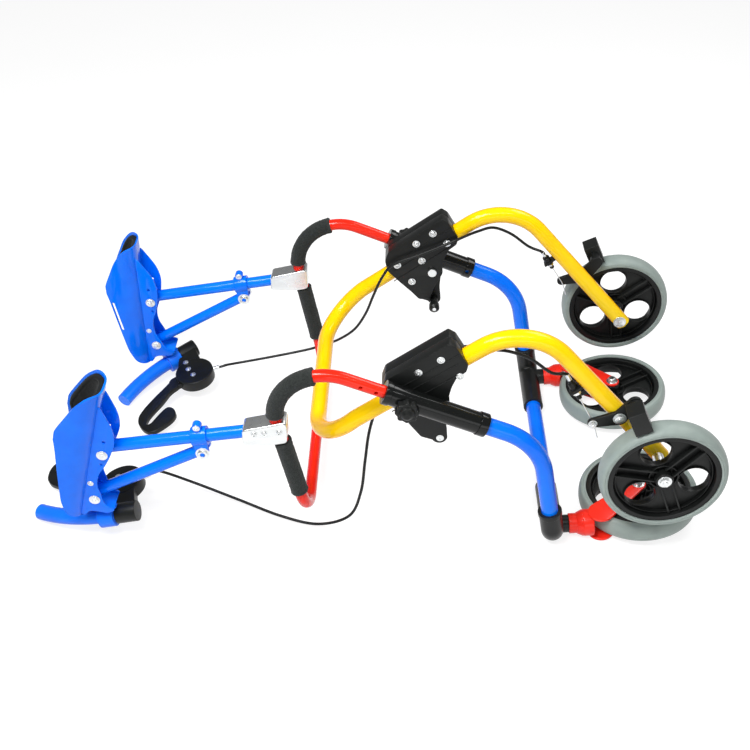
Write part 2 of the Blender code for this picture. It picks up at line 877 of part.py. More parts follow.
def bracket_outline(with_lock):
    """The bracket seen from the side; the outer half also carries the fold lock."""
    upper = [
        (0.007, 0.262),
        (-0.014, 0.284),
        (-0.0185, 0.304),
        (-0.013, 0.322),
        (0.081, 0.391),
        (0.0925, 0.384),
        (0.1115, 0.352),
        (0.109, 0.340),
        (0.095, 0.328),
        (0.0885, 0.311),
    ]
    pivot = sleeve_along(1, PIVOT_ALONG)
    lobe = arc((pivot.x, pivot.z), BRACKET_LOBE_RADIUS, 25, -20, 3)
    lock_x, lock_z = plunger_place()
    if with_lock:
        low = arc((lock_x, lock_z), PLUNGER_LOBE_RADIUS, 20, -150, 7)
        return upper + lobe + [(0.083, 0.240)] + low + [(0.044, 0.212), (0.026, 0.236)]
    return upper + lobe + [(0.070, 0.246), (0.065, 0.224), (0.045, 0.224), (0.030, 0.240)]


def rear_straight(side, along_x):
    return across(side, REAR_Y, along_x, rear_line_height(along_x))


def bracket_cuts(side):
    pivot_ends = [sleeve_along(side, PIVOT_ALONG, y) for y in (0.160, 0.220)]
    return [
        rod(
            "tube_groove",
            rear_straight(side, -0.045),
            rear_straight(side, 0.127),
            flat_clear(FRAME_TUBE),
        ),
        rod("pivot_hole", *pivot_ends, flat_clear(PIVOT_PIN, 12), 12),
    ]


def make_outer_bracket(name, side):
    inner_y = REAR_Y + SEAT_GAP / 2
    half = slab(
        name,
        bracket_outline(True),
        BRACKET_OUTER_Y - inner_y,
        upright((BRACKET_OUTER_Y + inner_y) / 2, side),
    )
    lock_x, lock_z = plunger_place()
    barrel = rod(
        "barrel",
        across(side, PLUNGER_BARREL_Y, lock_x, lock_z),
        across(side, inner_y + 0.004, lock_x, lock_z),
        PLUNGER_BARREL,
        12,
    )
    bore = rod(
        "plunger_bore",
        across(side, PLUNGER_BARREL_Y - 0.003, lock_x, lock_z),
        across(side, BRACKET_OUTER_Y + 0.003, lock_x, lock_z),
        flat_clear(PLUNGER_PIN, 8),
        8,
    )
    return cut(join(half, barrel), bore, *bracket_cuts(side))


def make_inner_bracket(name, side):
    """The inner half, with its bolt heads and the two long ribs over the tube."""
    outer_y = REAR_Y - SEAT_GAP / 2
    half = slab(
        name,
        bracket_outline(False),
        outer_y - BRACKET_INNER_Y,
        upright((outer_y + BRACKET_INNER_Y) / 2, side),
    )
    extras = []
    bolts = ((0.066, 0.362), (0.037, 0.341), (0.004, 0.296), (0.048, 0.306), (0.092, 0.343), (0.031, 0.262))
    for x, z in bolts:
        extras.append(
            rod(
                "bolt",
                across(side, BRACKET_INNER_Y + 0.002, x, z),
                across(side, BRACKET_INNER_Y - BRACKET_BOLT_HEIGHT, x, z),
                BRACKET_BOLT,
                8,
            )
        )
    along = rear_straight(side, 1) - rear_straight(side, 0)
    for offset in (-0.007, 0.007):
        centre = rear_straight(side, 0.047) + Vector((0, 0, offset / math.cos(REAR_SLOPE)))
        centre.y = side * (BRACKET_INNER_Y + 0.0005)
        turn = Matrix.Rotation(-REAR_SLOPE, 4, "Y")
        extras.append(brick("rib", (along.length * 0.098, 0.005, 0.004), Matrix.Translation(centre) @ turn))
    return cut(join(half, *extras), *bracket_cuts(side))


def make_plunger(name, side):
    """The fold lock's pin with its pull knob."""
    x, z = plunger_place()
    knob_end = PLUNGER_BARREL_Y - SEAT_GAP
    return join(
        rod(
            name,
            across(side, BRACKET_OUTER_Y - 0.0002, x, z),
            across(side, knob_end - 0.002, x, z),
            PLUNGER_PIN,
            8,
        ),
        rod(
            "neck",
            across(side, knob_end, x, z),
            across(side, knob_end - 0.005, x, z),
            PLUNGER_KNOB * 0.55,
            12,
            PLUNGER_KNOB * 0.9,
        ),
        rod(
            "knob",
            across(side, knob_end - 0.0045, x, z),
            across(side, PLUNGER_KNOB_Y + 0.004, x, z),
            PLUNGER_KNOB,
            12,
        ),
        rod(
            "knob_tip",
            across(side, PLUNGER_KNOB_Y + 0.005, x, z),
            across(side, PLUNGER_KNOB_Y, x, z),
            PLUNGER_KNOB,
            12,
            PLUNGER_KNOB * 0.5,
        ),
    )


def wheel_frame(centre, axis, spin):
    """A wheel's matrix: +Z along its axle, turned by spin degrees about it."""
    return facing(axis, centre) @ Matrix.Rotation(math.radians(spin), 4, "Z")


def make_tyre(name, matrix):
    half = TYRE_HALF_WIDTH
    seat = RIM_RADIUS + SEAT_GAP
    shoulder = WHEEL_RADIUS - TYRE_CROWN
    profile = [
        (seat, half),
        (shoulder - 0.001, half),
        (WHEEL_RADIUS - 0.0012, half - 0.006),
        (WHEEL_RADIUS, 0.0),
        (WHEEL_RADIUS - 0.0012, 0.006 - half),
        (shoulder - 0.001, -half),
        (seat, -half),
    ]
    return turned(name, profile, matrix)


def make_rim(name, matrix):
    """A moulded rim: hub, web with three round holes, and paired ribs between them."""
    bore = flat_clear(AXLE, WHEEL_STEPS)
    profile = [
        (RIM_RADIUS, RIM_HALF_WIDTH),
        (RIM_RADIUS, -RIM_HALF_WIDTH),
        (RIM_RING + 0.001, -RIM_HALF_WIDTH),
        (RIM_RING, -WEB_HALF),
        (HUB_RADIUS + 0.001, -WEB_HALF),
        (HUB_RADIUS, -HUB_HALF),
        (bore, -HUB_HALF),
        (bore, HUB_HALF),
        (HUB_RADIUS, HUB_HALF),
        (HUB_RADIUS + 0.001, WEB_HALF),
        (RIM_RING, WEB_HALF),
        (RIM_RING + 0.001, RIM_HALF_WIDTH),
    ]
    rim = turned(name, profile, matrix)
    ribs = []
    holes = []
    rib_start = HUB_RADIUS - 0.002
    rib_end = RIM_RING + 0.003
    for i in range(3):
        spoke = matrix @ Matrix.Rotation(math.radians(60 + 120 * i), 4, "Z")
        for offset in (-RIB_OFFSET, RIB_OFFSET):
            place = spoke @ Matrix.Translation(((rib_start + rib_end) / 2, offset, 0))
            ribs.append(brick("rib", (rib_end - rib_start, RIB_THICKNESS, 2 * RIB_HALF), place))
        hole = matrix @ Matrix.Rotation(math.radians(120 * i), 4, "Z")
        ends = [hole @ Vector((WHEEL_HOLE_AT, 0, height)) for height in (-0.01, 0.01)]
        holes.append(rod("wheel_hole", *ends, WHEEL_HOLE_RADIUS, 14))
    return cut(join(rim, *ribs), *holes)


def make_rear_axle(name, side):
    """The bolt through the tube's end, with its spacer and nut."""
    head_y = REAR_Y - FRAME_TUBE - SEAT_GAP
    hub_in = REAR_WHEEL_Y - HUB_HALF - SEAT_GAP
    hub_out = REAR_WHEEL_Y + HUB_HALF + SEAT_GAP
    nut_y = hub_out + AXLE_NUT_HEIGHT

    def at(y):
        return across(side, y, REAR_WHEEL_X, REAR_WHEEL_Z)

    return join(
        rod(name, at(head_y - 0.002), at(nut_y - 0.001), AXLE, 12),
        rod("head", at(head_y - AXLE_HEAD_HEIGHT), at(head_y), AXLE_HEAD, 6),
        rod("spacer", at(REAR_Y + FRAME_TUBE + SEAT_GAP), at(hub_in), AXLE_HEAD, 12),
        rod("nut", at(hub_out), at(nut_y), AXLE_NUT, 6),
    )


def leg_to_axle():
    """The direction of the rear frame's leg, from its axle up to the bend."""
    return Vector((REAR_APEX_X - REAR_WHEEL_X, 0, REAR_APEX_Z - REAR_WHEEL_Z)).normalized()


def brake_pivot(side, off_centre=0.0):
    place = across(side, off_centre, REAR_WHEEL_X, REAR_WHEEL_Z)
    return place + leg_to_axle() * BRAKE_PIVOT_FROM_AXLE


def make_brake(name, side):
    """A flat arm on the rear frame's outer face, with the shoe over the tread."""
    pivot = brake_pivot(side)
    radial = Vector((math.cos(BRAKE_SHOE_ANGLE), 0, math.sin(BRAKE_SHOE_ANGLE)))
    inner = WHEEL_RADIUS + BRAKE_SHOE_GAP
    wheel = across(side, REAR_WHEEL_Y, REAR_WHEEL_X, REAR_WHEEL_Z)
    shoe_centre = wheel + radial * (inner + BRAKE_SHOE_LENGTH / 2)
    turn = Matrix.Rotation(math.pi / 2 - BRAKE_SHOE_ANGLE, 4, "Y")
    shoe_size = (BRAKE_SHOE_WIDTH, 2 * BRAKE_SHOE_HALF_WIDTH, BRAKE_SHOE_LENGTH)
    shoe = brick("shoe", shoe_size, Matrix.Translation(shoe_centre) @ turn)
    hollow = rod(
        "tread",
        across(side, REAR_WHEEL_Y - 0.03, REAR_WHEEL_X, REAR_WHEEL_Z),
        across(side, REAR_WHEEL_Y + 0.03, REAR_WHEEL_X, REAR_WHEEL_Z),
        inner + 0.0004,
        64,
    )
    arm_y = BRAKE_ARM_Y + BRAKE_ARM_THICKNESS / 2
    here = (pivot.x, pivot.z)
    clamp = (pivot.x + BRAKE_CLAMP[0], pivot.z + BRAKE_CLAMP[1])
    carrier = (shoe_centre.x, shoe_centre.z)
    plate = upright(arm_y, side)
    thickness = BRAKE_ARM_THICKNESS
    wire_end = across(side, arm_y, *clamp)
    outward = Vector((0, side, 0))
    return cut(
        join(
            slab(name, link_outline(here, 0.013, clamp, 0.008), thickness, plate),
            slab("carrier", link_outline(here, 0.0125, carrier, 0.011), thickness * 0.98, plate),
            rod(
                "shoe_post",
                across(side, arm_y, *carrier),
                across(side, REAR_WHEEL_Y, *carrier),
                0.009,
                12,
            ),
            shoe,
            rod(
                "pivot_bolt",
                across(side, arm_y, *here),
                across(side, arm_y + 0.0075, *here),
                0.008,
                6,
            ),
            rod("wire_clamp", wire_end, wire_end + outward * 0.008, 0.0055, 6),
        ),
        hollow,
    )


def stop_barrel(side):
    """The two ends of the cable stop's adjuster, upper first."""
    axle = across(side, REAR_Y, REAR_WHEEL_X, REAR_WHEEL_Z)
    leg = leg_to_axle()
    inside = Vector((-leg.z, 0, leg.x))
    if inside.x > 0:
        inside = -inside
    middle = axle + leg * STOP_FROM_AXLE + inside * STOP_OFFSET
    aim = brake_pivot(side, BRAKE_ARM_Y) + Vector((BRAKE_CLAMP[0], 0, BRAKE_CLAMP[1]))
    heading = (aim - middle).normalized()
    half = heading * STOP_BARREL_LENGTH / 2
    return middle - half, middle + half


def make_cable_stop(name, side):
    """A plate on the rear frame that carries the cable's adjuster."""
    upper, lower = stop_barrel(side)
    middle = (upper + lower) / 2
    leg = leg_to_axle()
    seat = across(side, REAR_Y, REAR_WHEEL_X, REAR_WHEEL_Z) + leg * STOP_FROM_AXLE
    reach = (middle - seat).length
    out = (middle - seat).normalized()
    plate_in = seat + out * (FRAME_TUBE - 0.002)
    plate_out = seat + out * (reach + 0.009)
    centre = (plate_in + plate_out) / 2
    spin = Matrix((out, Vector((0, 1, 0)), out.cross(Vector((0, 1, 0))))).transposed().to_4x4()
    size = ((plate_out - plate_in).length, STOP_PLATE_WIDTH, STOP_PLATE_THICKNESS)
    heading = (lower - upper).normalized()
    tube = rod(
        "tube_seat",
        seat - leg * 0.03,
        seat + leg * 0.03,
        flat_clear(FRAME_TUBE),
    )
    bore = rod("bore", upper - heading * 0.003, lower + heading * 0.003, WIRE_BORE, 8)
    return cut(
        join(
            brick(name, size, Matrix.Translation(centre) @ spin),
            rod("barrel", upper, lower, STOP_BARREL, 12),
            rod("adjuster", upper + heading * 0.004, upper + heading * 0.013, STOP_BARREL * 1.5, 12),
        ),
        tube,
        bore,
    )


def caster_frame(side):
    """The caster's axes: X along the stem, Y along the trail, Z along the axle."""
    stem = stem_direction()
    trail = Vector((0, -side, 0))
    axle = stem.cross(trail)
    turn = Matrix((stem, trail, axle)).transposed().to_4x4()
    return Matrix.Translation(stem_origin(side)) @ turn


def make_fork(name, side):
    """A moulded fork: stem, collar, crown and the two arms beside the wheel."""
    frame = caster_frame(side)

    def at(x, y=0.0, z=0.0):
        return frame @ Vector((x, y, z))

    collar_start = STUB_LENGTH + SEAT_GAP
    crown_start = collar_start + FORK_COLLAR_LENGTH
    wheel = (CASTER_REACH, CASTER_TRAIL)
    root = (FORK_ARM_ROOT_AT, 0.0)
    outline = link_outline(root, FORK_ARM_ROOT_RADIUS, wheel, FORK_ARM_END_RADIUS)
    shapes = [
        rod("collar", at(collar_start), at(crown_start + 0.002), FORK_COLLAR_RADIUS),
        rod("dome", at(crown_start), at(crown_start + 0.010), FORK_COLLAR_RADIUS + 0.001, 20, FORK_CROWN_RADIUS),
        rod("crown", at(crown_start + 0.0095), at(FORK_CROWN_END), FORK_CROWN_RADIUS, 20),
    ]
    middle = (FORK_ARM_INNER + FORK_ARM_OUTER) / 2
    for height in (-middle, middle):
        place = frame @ Matrix.Translation((0, 0, height))
        shapes.append(slab("arm", outline, FORK_ARM_OUTER - FORK_ARM_INNER, place))
    clearance = WHEEL_RADIUS + FORK_WHEEL_CLEARANCE
    cutters = [
        rod("wheel_room", at(*wheel, -FORK_ARM_INNER), at(*wheel, FORK_ARM_INNER), clearance, 48),
        rod("axle_hole", at(*wheel, -0.04), at(*wheel, 0.04), flat_clear(AXLE, 12), 12),
    ]
    stem = rod(name, at(-STEM_ROOT), at(crown_start + 0.003), STEM_RADIUS, 12)
    return cut(join(stem, *shapes), *cutters)


def make_caster_axle(name, side):
    frame = caster_frame(side)

    def at(height):
        return frame @ Vector((CASTER_REACH, CASTER_TRAIL, height))

    seat = FORK_ARM_OUTER + SEAT_GAP
    return join(
        rod(name, at(-CASTER_AXLE_HALF + 0.001), at(CASTER_AXLE_HALF - 0.001), AXLE, 12),
        rod("head", at(seat), at(CASTER_AXLE_HALF), CASTER_AXLE_HEAD, 6),
        rod("nut", at(-seat), at(-CASTER_AXLE_HALF), CASTER_AXLE_HEAD, 6),
    )


def post_direction(side_name):
    drop = math.radians(SUPPORTS[side_name]["drop"])
    return Vector((-math.cos(drop), 0, -math.sin(drop)))


def post_mouth(side):
    return across(side, SUPPORT_Y, POST_MOUTH_X, POST_MOUTH_Z)


def post_end(side_name):
    side = SIDES[side_name]
    return post_mouth(side) + post_direction(side_name) * SUPPORTS[side_name]["reach"]


def trough_frame(side_name):
    """The trough's axes: X down the forearm to the hand, Y to the open side, Z across."""
    lean = math.radians(SUPPORTS[side_name]["lean"])
    down = Vector((-math.sin(lean), 0, -math.cos(lean)))
    opening = Vector((-math.cos(lean), 0, math.sin(lean)))
    turn = Matrix((down, opening, down.cross(opening))).transposed().to_4x4()
    return Matrix.Translation(post_end(side_name)) @ turn


def slider_pivot(side_name):
    """Where the slider must stand on the post for the strut to reach the trough."""
    side = SIDES[side_name]
    along = post_direction(side_name)
    below = Vector((along.z, 0, -along.x)) * SLIDER_DROP
    if below.z > 0:
        below = -below
    target = trough_frame(side_name) @ Vector((TROUGH_BOLTS, 0, 0))
    start = post_mouth(side) + below
    to_target = target - start
    ahead = to_target.dot(along)
    off = (to_target - along * ahead).length
    travel = ahead - math.sqrt(STRUT_LENGTH**2 - off**2)
    return start + along * travel, below


def make_arm_clamp(name, side):
    """A two-way clamp from the handlebar's run to the arm support's post."""
    outline = [
        (-0.2335, 0.2140),
        (-0.1890, 0.2140),
        (-0.1640, 0.2190),
        (-0.1640, 0.2560),
        (-0.1700, 0.2590),
        (-0.1935, 0.2525),
        (-0.2335, 0.2430),
    ]
    thickness = CLAMP_OUTER_Y - CLAMP_INNER_Y
    block = slab(name, outline, thickness, upright((CLAMP_OUTER_Y + CLAMP_INNER_Y) / 2, side))
    screws = []
    for x, z in ((-0.2143, 0.2360), (-0.1987, 0.2383), (-0.1754, 0.2407)):
        screws.append(
            rod(
                "screw",
                across(side, CLAMP_OUTER_Y - 0.002, x, z),
                across(side, CLAMP_OUTER_Y + CLAMP_SCREW_HEIGHT, x, z),
                CLAMP_SCREW,
                8,
            )
        )
    side_name = "left" if side < 0 else "right"
    along = post_direction(side_name)
    mouth = post_mouth(side)
    root = mouth - along * (POST_ROOT_X - POST_MOUTH_X + SEAT_GAP)
    return cut(
        join(block, *screws),
        pipe("run_bore", run_stretch(side), flat_clear(BAR_TUBE)),
        rod("post_bore", root, mouth + along * 0.01, flat_clear(POST_TUBE)),
    )


def make_post(name, side_name):
    side = SIDES[side_name]
    along = post_direction(side_name)
    mouth = post_mouth(side)
    root = mouth - along * (POST_ROOT_X - POST_MOUTH_X)
    end = post_end(side_name)
    sideways = Vector((0, 0.02, 0))
    return cut(
        round_ended(name, root, end, POST_TUBE),
        rod("hollow", root - along * 0.002, end - along * 0.030, POST_BORE, BORE_SIDES),
        rod("pin_hole", end - sideways, end + sideways, flat_clear(TROUGH_PIN, 12), 12),
    )


def make_slider(name, side_name):
    """The collar on the post, with its clamp ear above and the strut's cheeks below."""
    side = SIDES[side_name]
    along = post_direction(side_name)
    pivot, below = slider_pivot(side_name)
    centre = pivot - below
    up = -below.normalized()
    ear = centre + up * SLIDER_EAR_RISE
    sideways = Vector((0, side, 0))
    cheek_in = STRUT_TUBE + STRUT_SIDE_GAP
    cheek_out = cheek_in + SLIDER_CHEEK
    cheek_start = centre - up * 0.008
    shapes = [
        rod("ear", ear - sideways * SLIDER_EAR_HALF, ear + sideways * SLIDER_EAR_HALF, SLIDER_EAR_RADIUS, 12),
        brick(
            "ear_root",
            (0.012, 2 * SLIDER_EAR_HALF * 0.96, 0.016),
            Matrix.Translation(centre + up * 0.0145) @ Matrix.Rotation(along.z, 4, "Y"),
        ),
        rod(
            "ear_bolt",
            ear - sideways * (SLIDER_EAR_HALF + 0.003),
            ear + sideways * (SLIDER_EAR_HALF + 0.003),
            0.0045,
            6,
        ),
    ]
    outline = link_outline((cheek_start.x, cheek_start.z), 0.0115, (pivot.x, pivot.z), 0.009)
    for offset in (-1, 1):
        y = SUPPORT_Y + offset * (cheek_in + cheek_out) / 2
        shapes.append(slab("cheek", outline, SLIDER_CHEEK, upright(y, side)))
    head_out = cheek_out + 0.004
    shapes.append(
        rod("strut_pin", pivot - sideways * head_out, pivot + sideways * head_out, STRUT_PIN, 8)
    )
    for direction in (-1, 1):
        reach = sideways * direction
        shapes.append(
            rod(
                "strut_bolt",
                pivot + reach * (cheek_out - 0.001),
                pivot + reach * head_out,
                STRUT_HEAD,
                12,
            )
        )
    ring = rod(name, centre - along * SLIDER_HALF, centre + along * SLIDER_HALF, SLIDER_RADIUS)
    bore = rod("post_bore", centre - along * 0.03, centre + along * 0.03, flat_clear(POST_TUBE))
    return cut(join(ring, *shapes), bore)


def make_strut(name, side_name):
    """The strut from the slider to the trough's lower bolt."""
    pivot, _ = slider_pivot(side_name)
    target = trough_frame(side_name) @ Vector((TROUGH_BOLTS, 0, 0))
    along = (target - pivot).normalized()
    sideways = Vector((0, 0.02, 0))
    return cut(
        round_ended(name, pivot - along * STRUT_OVERRUN, target, STRUT_TUBE),
        rod("hollow", pivot - along * 0.01, target - along * 0.02, STRUT_BORE, BORE_SIDES),
        rod("pin_hole", pivot - sideways, pivot + sideways, flat_clear(STRUT_PIN, 12), 12),
    )


def channel(name, frame, inset, thickness, outline):
    """A curved channel of this wall, inset from the trough's inner face and cut to an outline."""
    inner = []
    outer = []
    for i, (across_, opening) in enumerate(TROUGH_SECTION):
        before = Vector(TROUGH_SECTION[max(i - 1, 0)])
        after = Vector(TROUGH_SECTION[min(i + 1, len(TROUGH_SECTION) - 1)])
        tangent = (after - before).normalized()
        normal = Vector((-tangent.y, tangent.x))
        point = Vector((across_, opening))
        outer.append(point + normal * inset)
        inner.append(point + normal * (inset + thickness))
    section = [(place.x, place.y) for place in outer]
    section += [(place.x, place.y) for place in inner[::-1]]
    length = TROUGH_FRONT - TROUGH_REAR
    place = Matrix(((0, 0, 1, TROUGH_REAR + length / 2), (0, 1, 0, 0), (-1, 0, 0, 0), (0, 0, 0, 1)))
    body = slab(name, section, length + 0.020, frame @ place)
    side = slab("side", outline, 0.120, frame)
    return combine("INTERSECT", body, [side])


def make_trough(name, side_name):
    """The bent arm shell with its two flanges, bolts and swivel stud."""
    frame = trough_frame(side_name)
    sheet = TROUGH_SHEET
    shell = channel(name, frame, -sheet, sheet, TROUGH_OUTLINE)
    flange = [
        (-0.078, 0.004),
        (-0.055, -0.010),
        (-0.030, -0.0165),
        (0.0, -0.0130),
        (0.024, -0.0070),
        (0.040, -0.0005),
        (0.056, 0.0010),
        (0.072, -0.0015),
        (0.088, -0.0095),
        (0.102, -0.0140),
        (0.109, -0.0225),
        (0.1110, -0.0335),
        (0.1165, -0.0335),
        (0.1210, -0.0285),
        (GRIP_FACE, -0.0240),
        (GRIP_FACE, 0.0040),
        (0.1385, 0.0110),
        (0.1385, 0.0185),
        (-0.100, 0.0185),
    ]
    middle = TROUGH_FOLD_HALF - sheet / 2
    shapes = []
    for offset in (-middle, middle):
        shapes.append(slab("flange", flange, sheet, frame @ Matrix.Translation((0, 0, offset))))
    pocket = [
        (0.1150, -0.0330),
        (0.1163, -0.0330),
        (0.1208, -0.0283),
        (GRIP_FACE - 0.0002, -0.0238),
        (GRIP_FACE - 0.0002, 0.0160),
        (0.1150, 0.0160),
    ]
    shapes.append(slab("pocket", pocket, 2 * TROUGH_FOLD_HALF - sheet, frame))

    def at(along, opening, sideways=0.0):
        return frame @ Vector((along, opening, sideways))

    head = TROUGH_FOLD_HALF + 0.0045
    shapes.append(rod("post_pin", at(0, 0, -head), at(0, 0, head), TROUGH_PIN, 12))
    for direction in (-1, 1):
        fold = direction * (TROUGH_FOLD_HALF - 0.0005)
        tip = direction * head
        shapes.append(rod("post_bolt", at(0, 0, fold), at(0, 0, tip), TROUGH_HEAD, 6))
        shapes.append(rod("strut_bolt", at(TROUGH_BOLTS, 0, fold), at(TROUGH_BOLTS, 0, tip), TROUGH_HEAD, 6))
        inner = direction * (STRUT_TUBE + STRUT_SIDE_GAP)
        shank = [at(TROUGH_BOLTS, 0, inner), at(TROUGH_BOLTS, 0, fold)]
        shapes.append(rod("strut_shank", *shank, TROUGH_PIN, 12))
    stud_end = GRIP_ALONG + 0.006
    stud = rod("swivel_stud", at(0.118, GRIP_OPEN), at(stud_end, GRIP_OPEN), GRIP_PIN, 12)
    shell = join(shell, stud, *shapes)
    holes = []
    for along, opening in ((-0.0275, 0.001), (0.0205, -0.001)):
        ends = [at(along, opening, z) for z in (-0.03, 0.03)]
        holes.append(rod("spare_hole", *ends, 0.0025, 8))
    slot_place = frame @ Matrix.Translation((*STRAP_SLOT_AT, 0)) @ Matrix.Rotation(STRAP_SLOT_SLANT, 4, "Z")
    half = STRAP_SLOT_LENGTH / 2
    slot_outline = link_outline((-half, 0), STRAP_SLOT_HALF, (half, 0), STRAP_SLOT_HALF * 0.995, 1)
    holes.append(slab("strap_slot", slot_outline, 0.12, slot_place))
    return cut(shell, *holes)


def make_pad(name, side_name):
    """The soft lining of the trough."""
    frame = trough_frame(side_name)
    return channel(name, frame, SEAT_GAP, PAD_THICKNESS, PAD_OUTLINE)


def grip_frame(side_name):
    """The hand grip's axes: X along the grip, Y to the lever's side, Z down the swivel."""
    side = SIDES[side_name]
    settings = SUPPORTS[side_name]
    trough = trough_frame(side_name)
    turn = trough.to_3x3()
    down = turn.col[0]
    opening = turn.col[1]
    inward = Vector((0, -side, 0))
    swing = math.radians(settings["swing"])
    dip = math.radians(settings["dip"])
    level = opening * math.cos(swing) + inward * math.sin(swing)
    along = level * math.cos(dip) + down * math.sin(dip)
    lever_side = inward * math.cos(swing) - opening * math.sin(swing)
    up = along.cross(lever_side)
    axes = Matrix((along, lever_side, up)).transposed().to_4x4()
    place = trough @ Vector((GRIP_ALONG, GRIP_OPEN, 0))
    return Matrix.Translation(place) @ axes, down


def grip_points():
    """The bent axis of the grip bar, in the grip's own axes."""
    points = []
    steps = 5
    for i in range(steps + 1):
        angle = GRIP_BEND * i / steps
        radius = GRIP_LENGTH / GRIP_BEND
        points.append(Vector((radius * math.sin(angle), radius * (1 - math.cos(angle)), 0)))
    return points


def make_hand_grip(name, side_name):
    """The grip bar with the cuff that turns on the trough's stud."""
    frame, down = grip_frame(side_name)
    line = [frame @ point for point in grip_points()]
    first = frame @ Vector((SEAT_GAP - HOUSING_CLAMP_START, 0, 0))
    along = frame.to_3x3().col[0]
    centre = frame.translation
    knuckle_top = trough_frame(side_name) @ Vector((GRIP_FACE + SEAT_GAP, GRIP_OPEN, 0))
    bar = pipe(name, [first, *line], GRIP_RADIUS, 14)
    cuff = rod("cuff", centre - along * CUFF_HALF, centre + along * CUFF_HALF, CUFF_RADIUS, 18)
    knuckle = rod("knuckle", knuckle_top, centre, GRIP_KNUCKLE, 12)
    stud_room = rod(
        "stud_room",
        knuckle_top - down * 0.002,
        knuckle_top + down * (GRIP_ALONG + 0.0063 - GRIP_FACE),
        flat_clear(GRIP_PIN, 12),
        12,
    )
    clamp_room = rod(
        "clamp_room",
        centre - along * (HOUSING_CLAMP_START + 0.025),
        centre - along * (HOUSING_CLAMP_START - SEAT_GAP),
        flat_clear(HOUSING_CLAMP_RADIUS, 20),
        20,
    )
    spigot = rod("spigot", centre, centre - along * GRIP_SPIGOT_END, GRIP_SPIGOT, 12)
    return cut(join(bar, cuff, cut(knuckle, clamp_room), spigot), stud_room)


def make_housing(name, side_name):
    """The brake lever's housing: a clamp on the grip's end and a flat round body."""
    frame, _ = grip_frame(side_name)

    def at(t, n, m=0.0):
        return frame @ Vector((t, n, m))

    start = -HOUSING_CLAMP_START
    disc = (HOUSING_DISC_T, HOUSING_DISC_N)
    root = (-0.030, 0.012)
    half = HOUSING_DISC_HALF
    neck = link_outline(root, 0.0165, (-0.014, 0.047), 0.0235)
    gap = 0.0008
    cuff_room = rod(
        "cuff_room",
        at(-HOUSING_CLAMP_START, 0),
        at(CUFF_HALF + gap, 0),
        (CUFF_RADIUS + gap) / math.cos(math.pi / 20),
        20,
    )
    flat = join(
        rod(name, at(*disc, -half), at(*disc, half), HOUSING_DISC_RADIUS, 24),
        slab("neck", neck, 2 * half * 0.94, frame),
    )
    body = join(
        cut(flat, cuff_room),
        rod("clamp", at(start, 0), at(start - HOUSING_CLAMP_LENGTH, 0), HOUSING_CLAMP_RADIUS, 20),
        rod("ferrule", at(-0.036, 0.080), at(-0.056, 0.088), 0.0045, 12),
    )
    screws = []
    for t, n in ((-0.010, 0.039), (-0.004, 0.060), (-0.003, 0.081)):
        screws.append(rod("screw", at(t, n, -half - 0.0015), at(t, n, 0.0085 - half), 0.0042, 6))
    spigot_end = -GRIP_SPIGOT_END - SEAT_GAP
    spigot_room = rod("spigot_room", at(start + 0.003, 0), at(spigot_end, 0), flat_clear(GRIP_SPIGOT, 12), 12)
    slot = rod(
        "lever_slot",
        at(*disc, -LEVER_SLOT_HALF),
        at(*disc, LEVER_SLOT_HALF),
        0.021,
        24,
    )
    mouth = [(-0.008, 0.048), (0.060, 0.020), (0.060, 0.125), (-0.010, 0.093)]
    mouth_slab = slab("lever_mouth", mouth, 2 * LEVER_SLOT_HALF, frame)
    pin = rod("lever_pin", at(*disc, -half * 0.8), at(*disc, half * 0.8), LEVER_PIN, 12)
    body = cut(join(body, *screws), slot, mouth_slab, spigot_room)
    return join(body, pin)


def make_lever(name, side_name):
    """The hooked brake lever, bent back on itself at its tip."""
    frame, _ = grip_frame(side_name)
    outer = [
        (0.020, 0.050),
        (0.056, 0.064),
        (0.084, 0.074),
        (0.110, 0.085),
        (0.130, 0.097),
        (0.140, 0.112),
        (0.142, 0.134),
        (0.137, 0.150),
        (0.126, 0.157),
        (0.108, 0.157),
        (0.087, 0.154),
        (0.074, 0.146),
        (0.069, 0.131),
        (0.072, 0.119),
        (0.080, 0.115),
        (0.096, 0.120),
        (0.112, 0.127),
        (0.122, 0.1315),
        (0.1285, 0.130),
        (0.1285, 0.125),
        (0.118, 0.115),
        (0.100, 0.1065),
        (0.078, 0.098),
        (0.053, 0.084),
        (0.028, 0.081),
    ]
    arm = slab(name, outer, 2 * LEVER_HALF, frame)

    def at(height):
        return frame @ Vector((HOUSING_DISC_T, HOUSING_DISC_N, height))

    hub = rod("hub", at(-LEVER_HALF * 0.98), at(LEVER_HALF * 0.98), 0.0165, 20)
    link = link_outline((HOUSING_DISC_T, HOUSING_DISC_N), 0.0145, (0.030, 0.0665), 0.0140)
    neck = slab("lever_neck", link, 2 * LEVER_HALF * 0.96, frame)
    hole = rod("pin_hole", at(-0.01), at(0.01), flat_clear(LEVER_PIN, 12), 12)
    return cut(join(arm, hub, neck), hole)


def smooth_route(points, spacing):
    """Evenly spaced points on one smooth curve through the given ones."""
    ends = [2 * points[0] - points[1], *points, 2 * points[-1] - points[-2]]
    dense = []
    for p0, p1, p2, p3 in zip(ends, ends[1:], ends[2:], ends[3:]):
        for i in range(12):
            t = i / 12
            bend = 2 * p0 - 5 * p1 + 4 * p2 - p3
            curl = 3 * p1 - p0 - 3 * p2 + p3
            dense.append((2 * p1 + (p2 - p0) * t + bend * t * t + curl * t**3) / 2)
    dense.append(points[-1])
    total = sum((b - a).length for a, b in zip(dense, dense[1:]))
    count = max(2, round(total / spacing))
    route = [dense[0]]
    walked = 0.0
    for a, b in zip(dense, dense[1:]):
        length = (b - a).length
        while len(route) < count and walked + length >= total * len(route) / count:
            route.append(a.lerp(b, (total * len(route) / count - walked) / length))
        walked += length
    route.append(dense[-1])
    return route


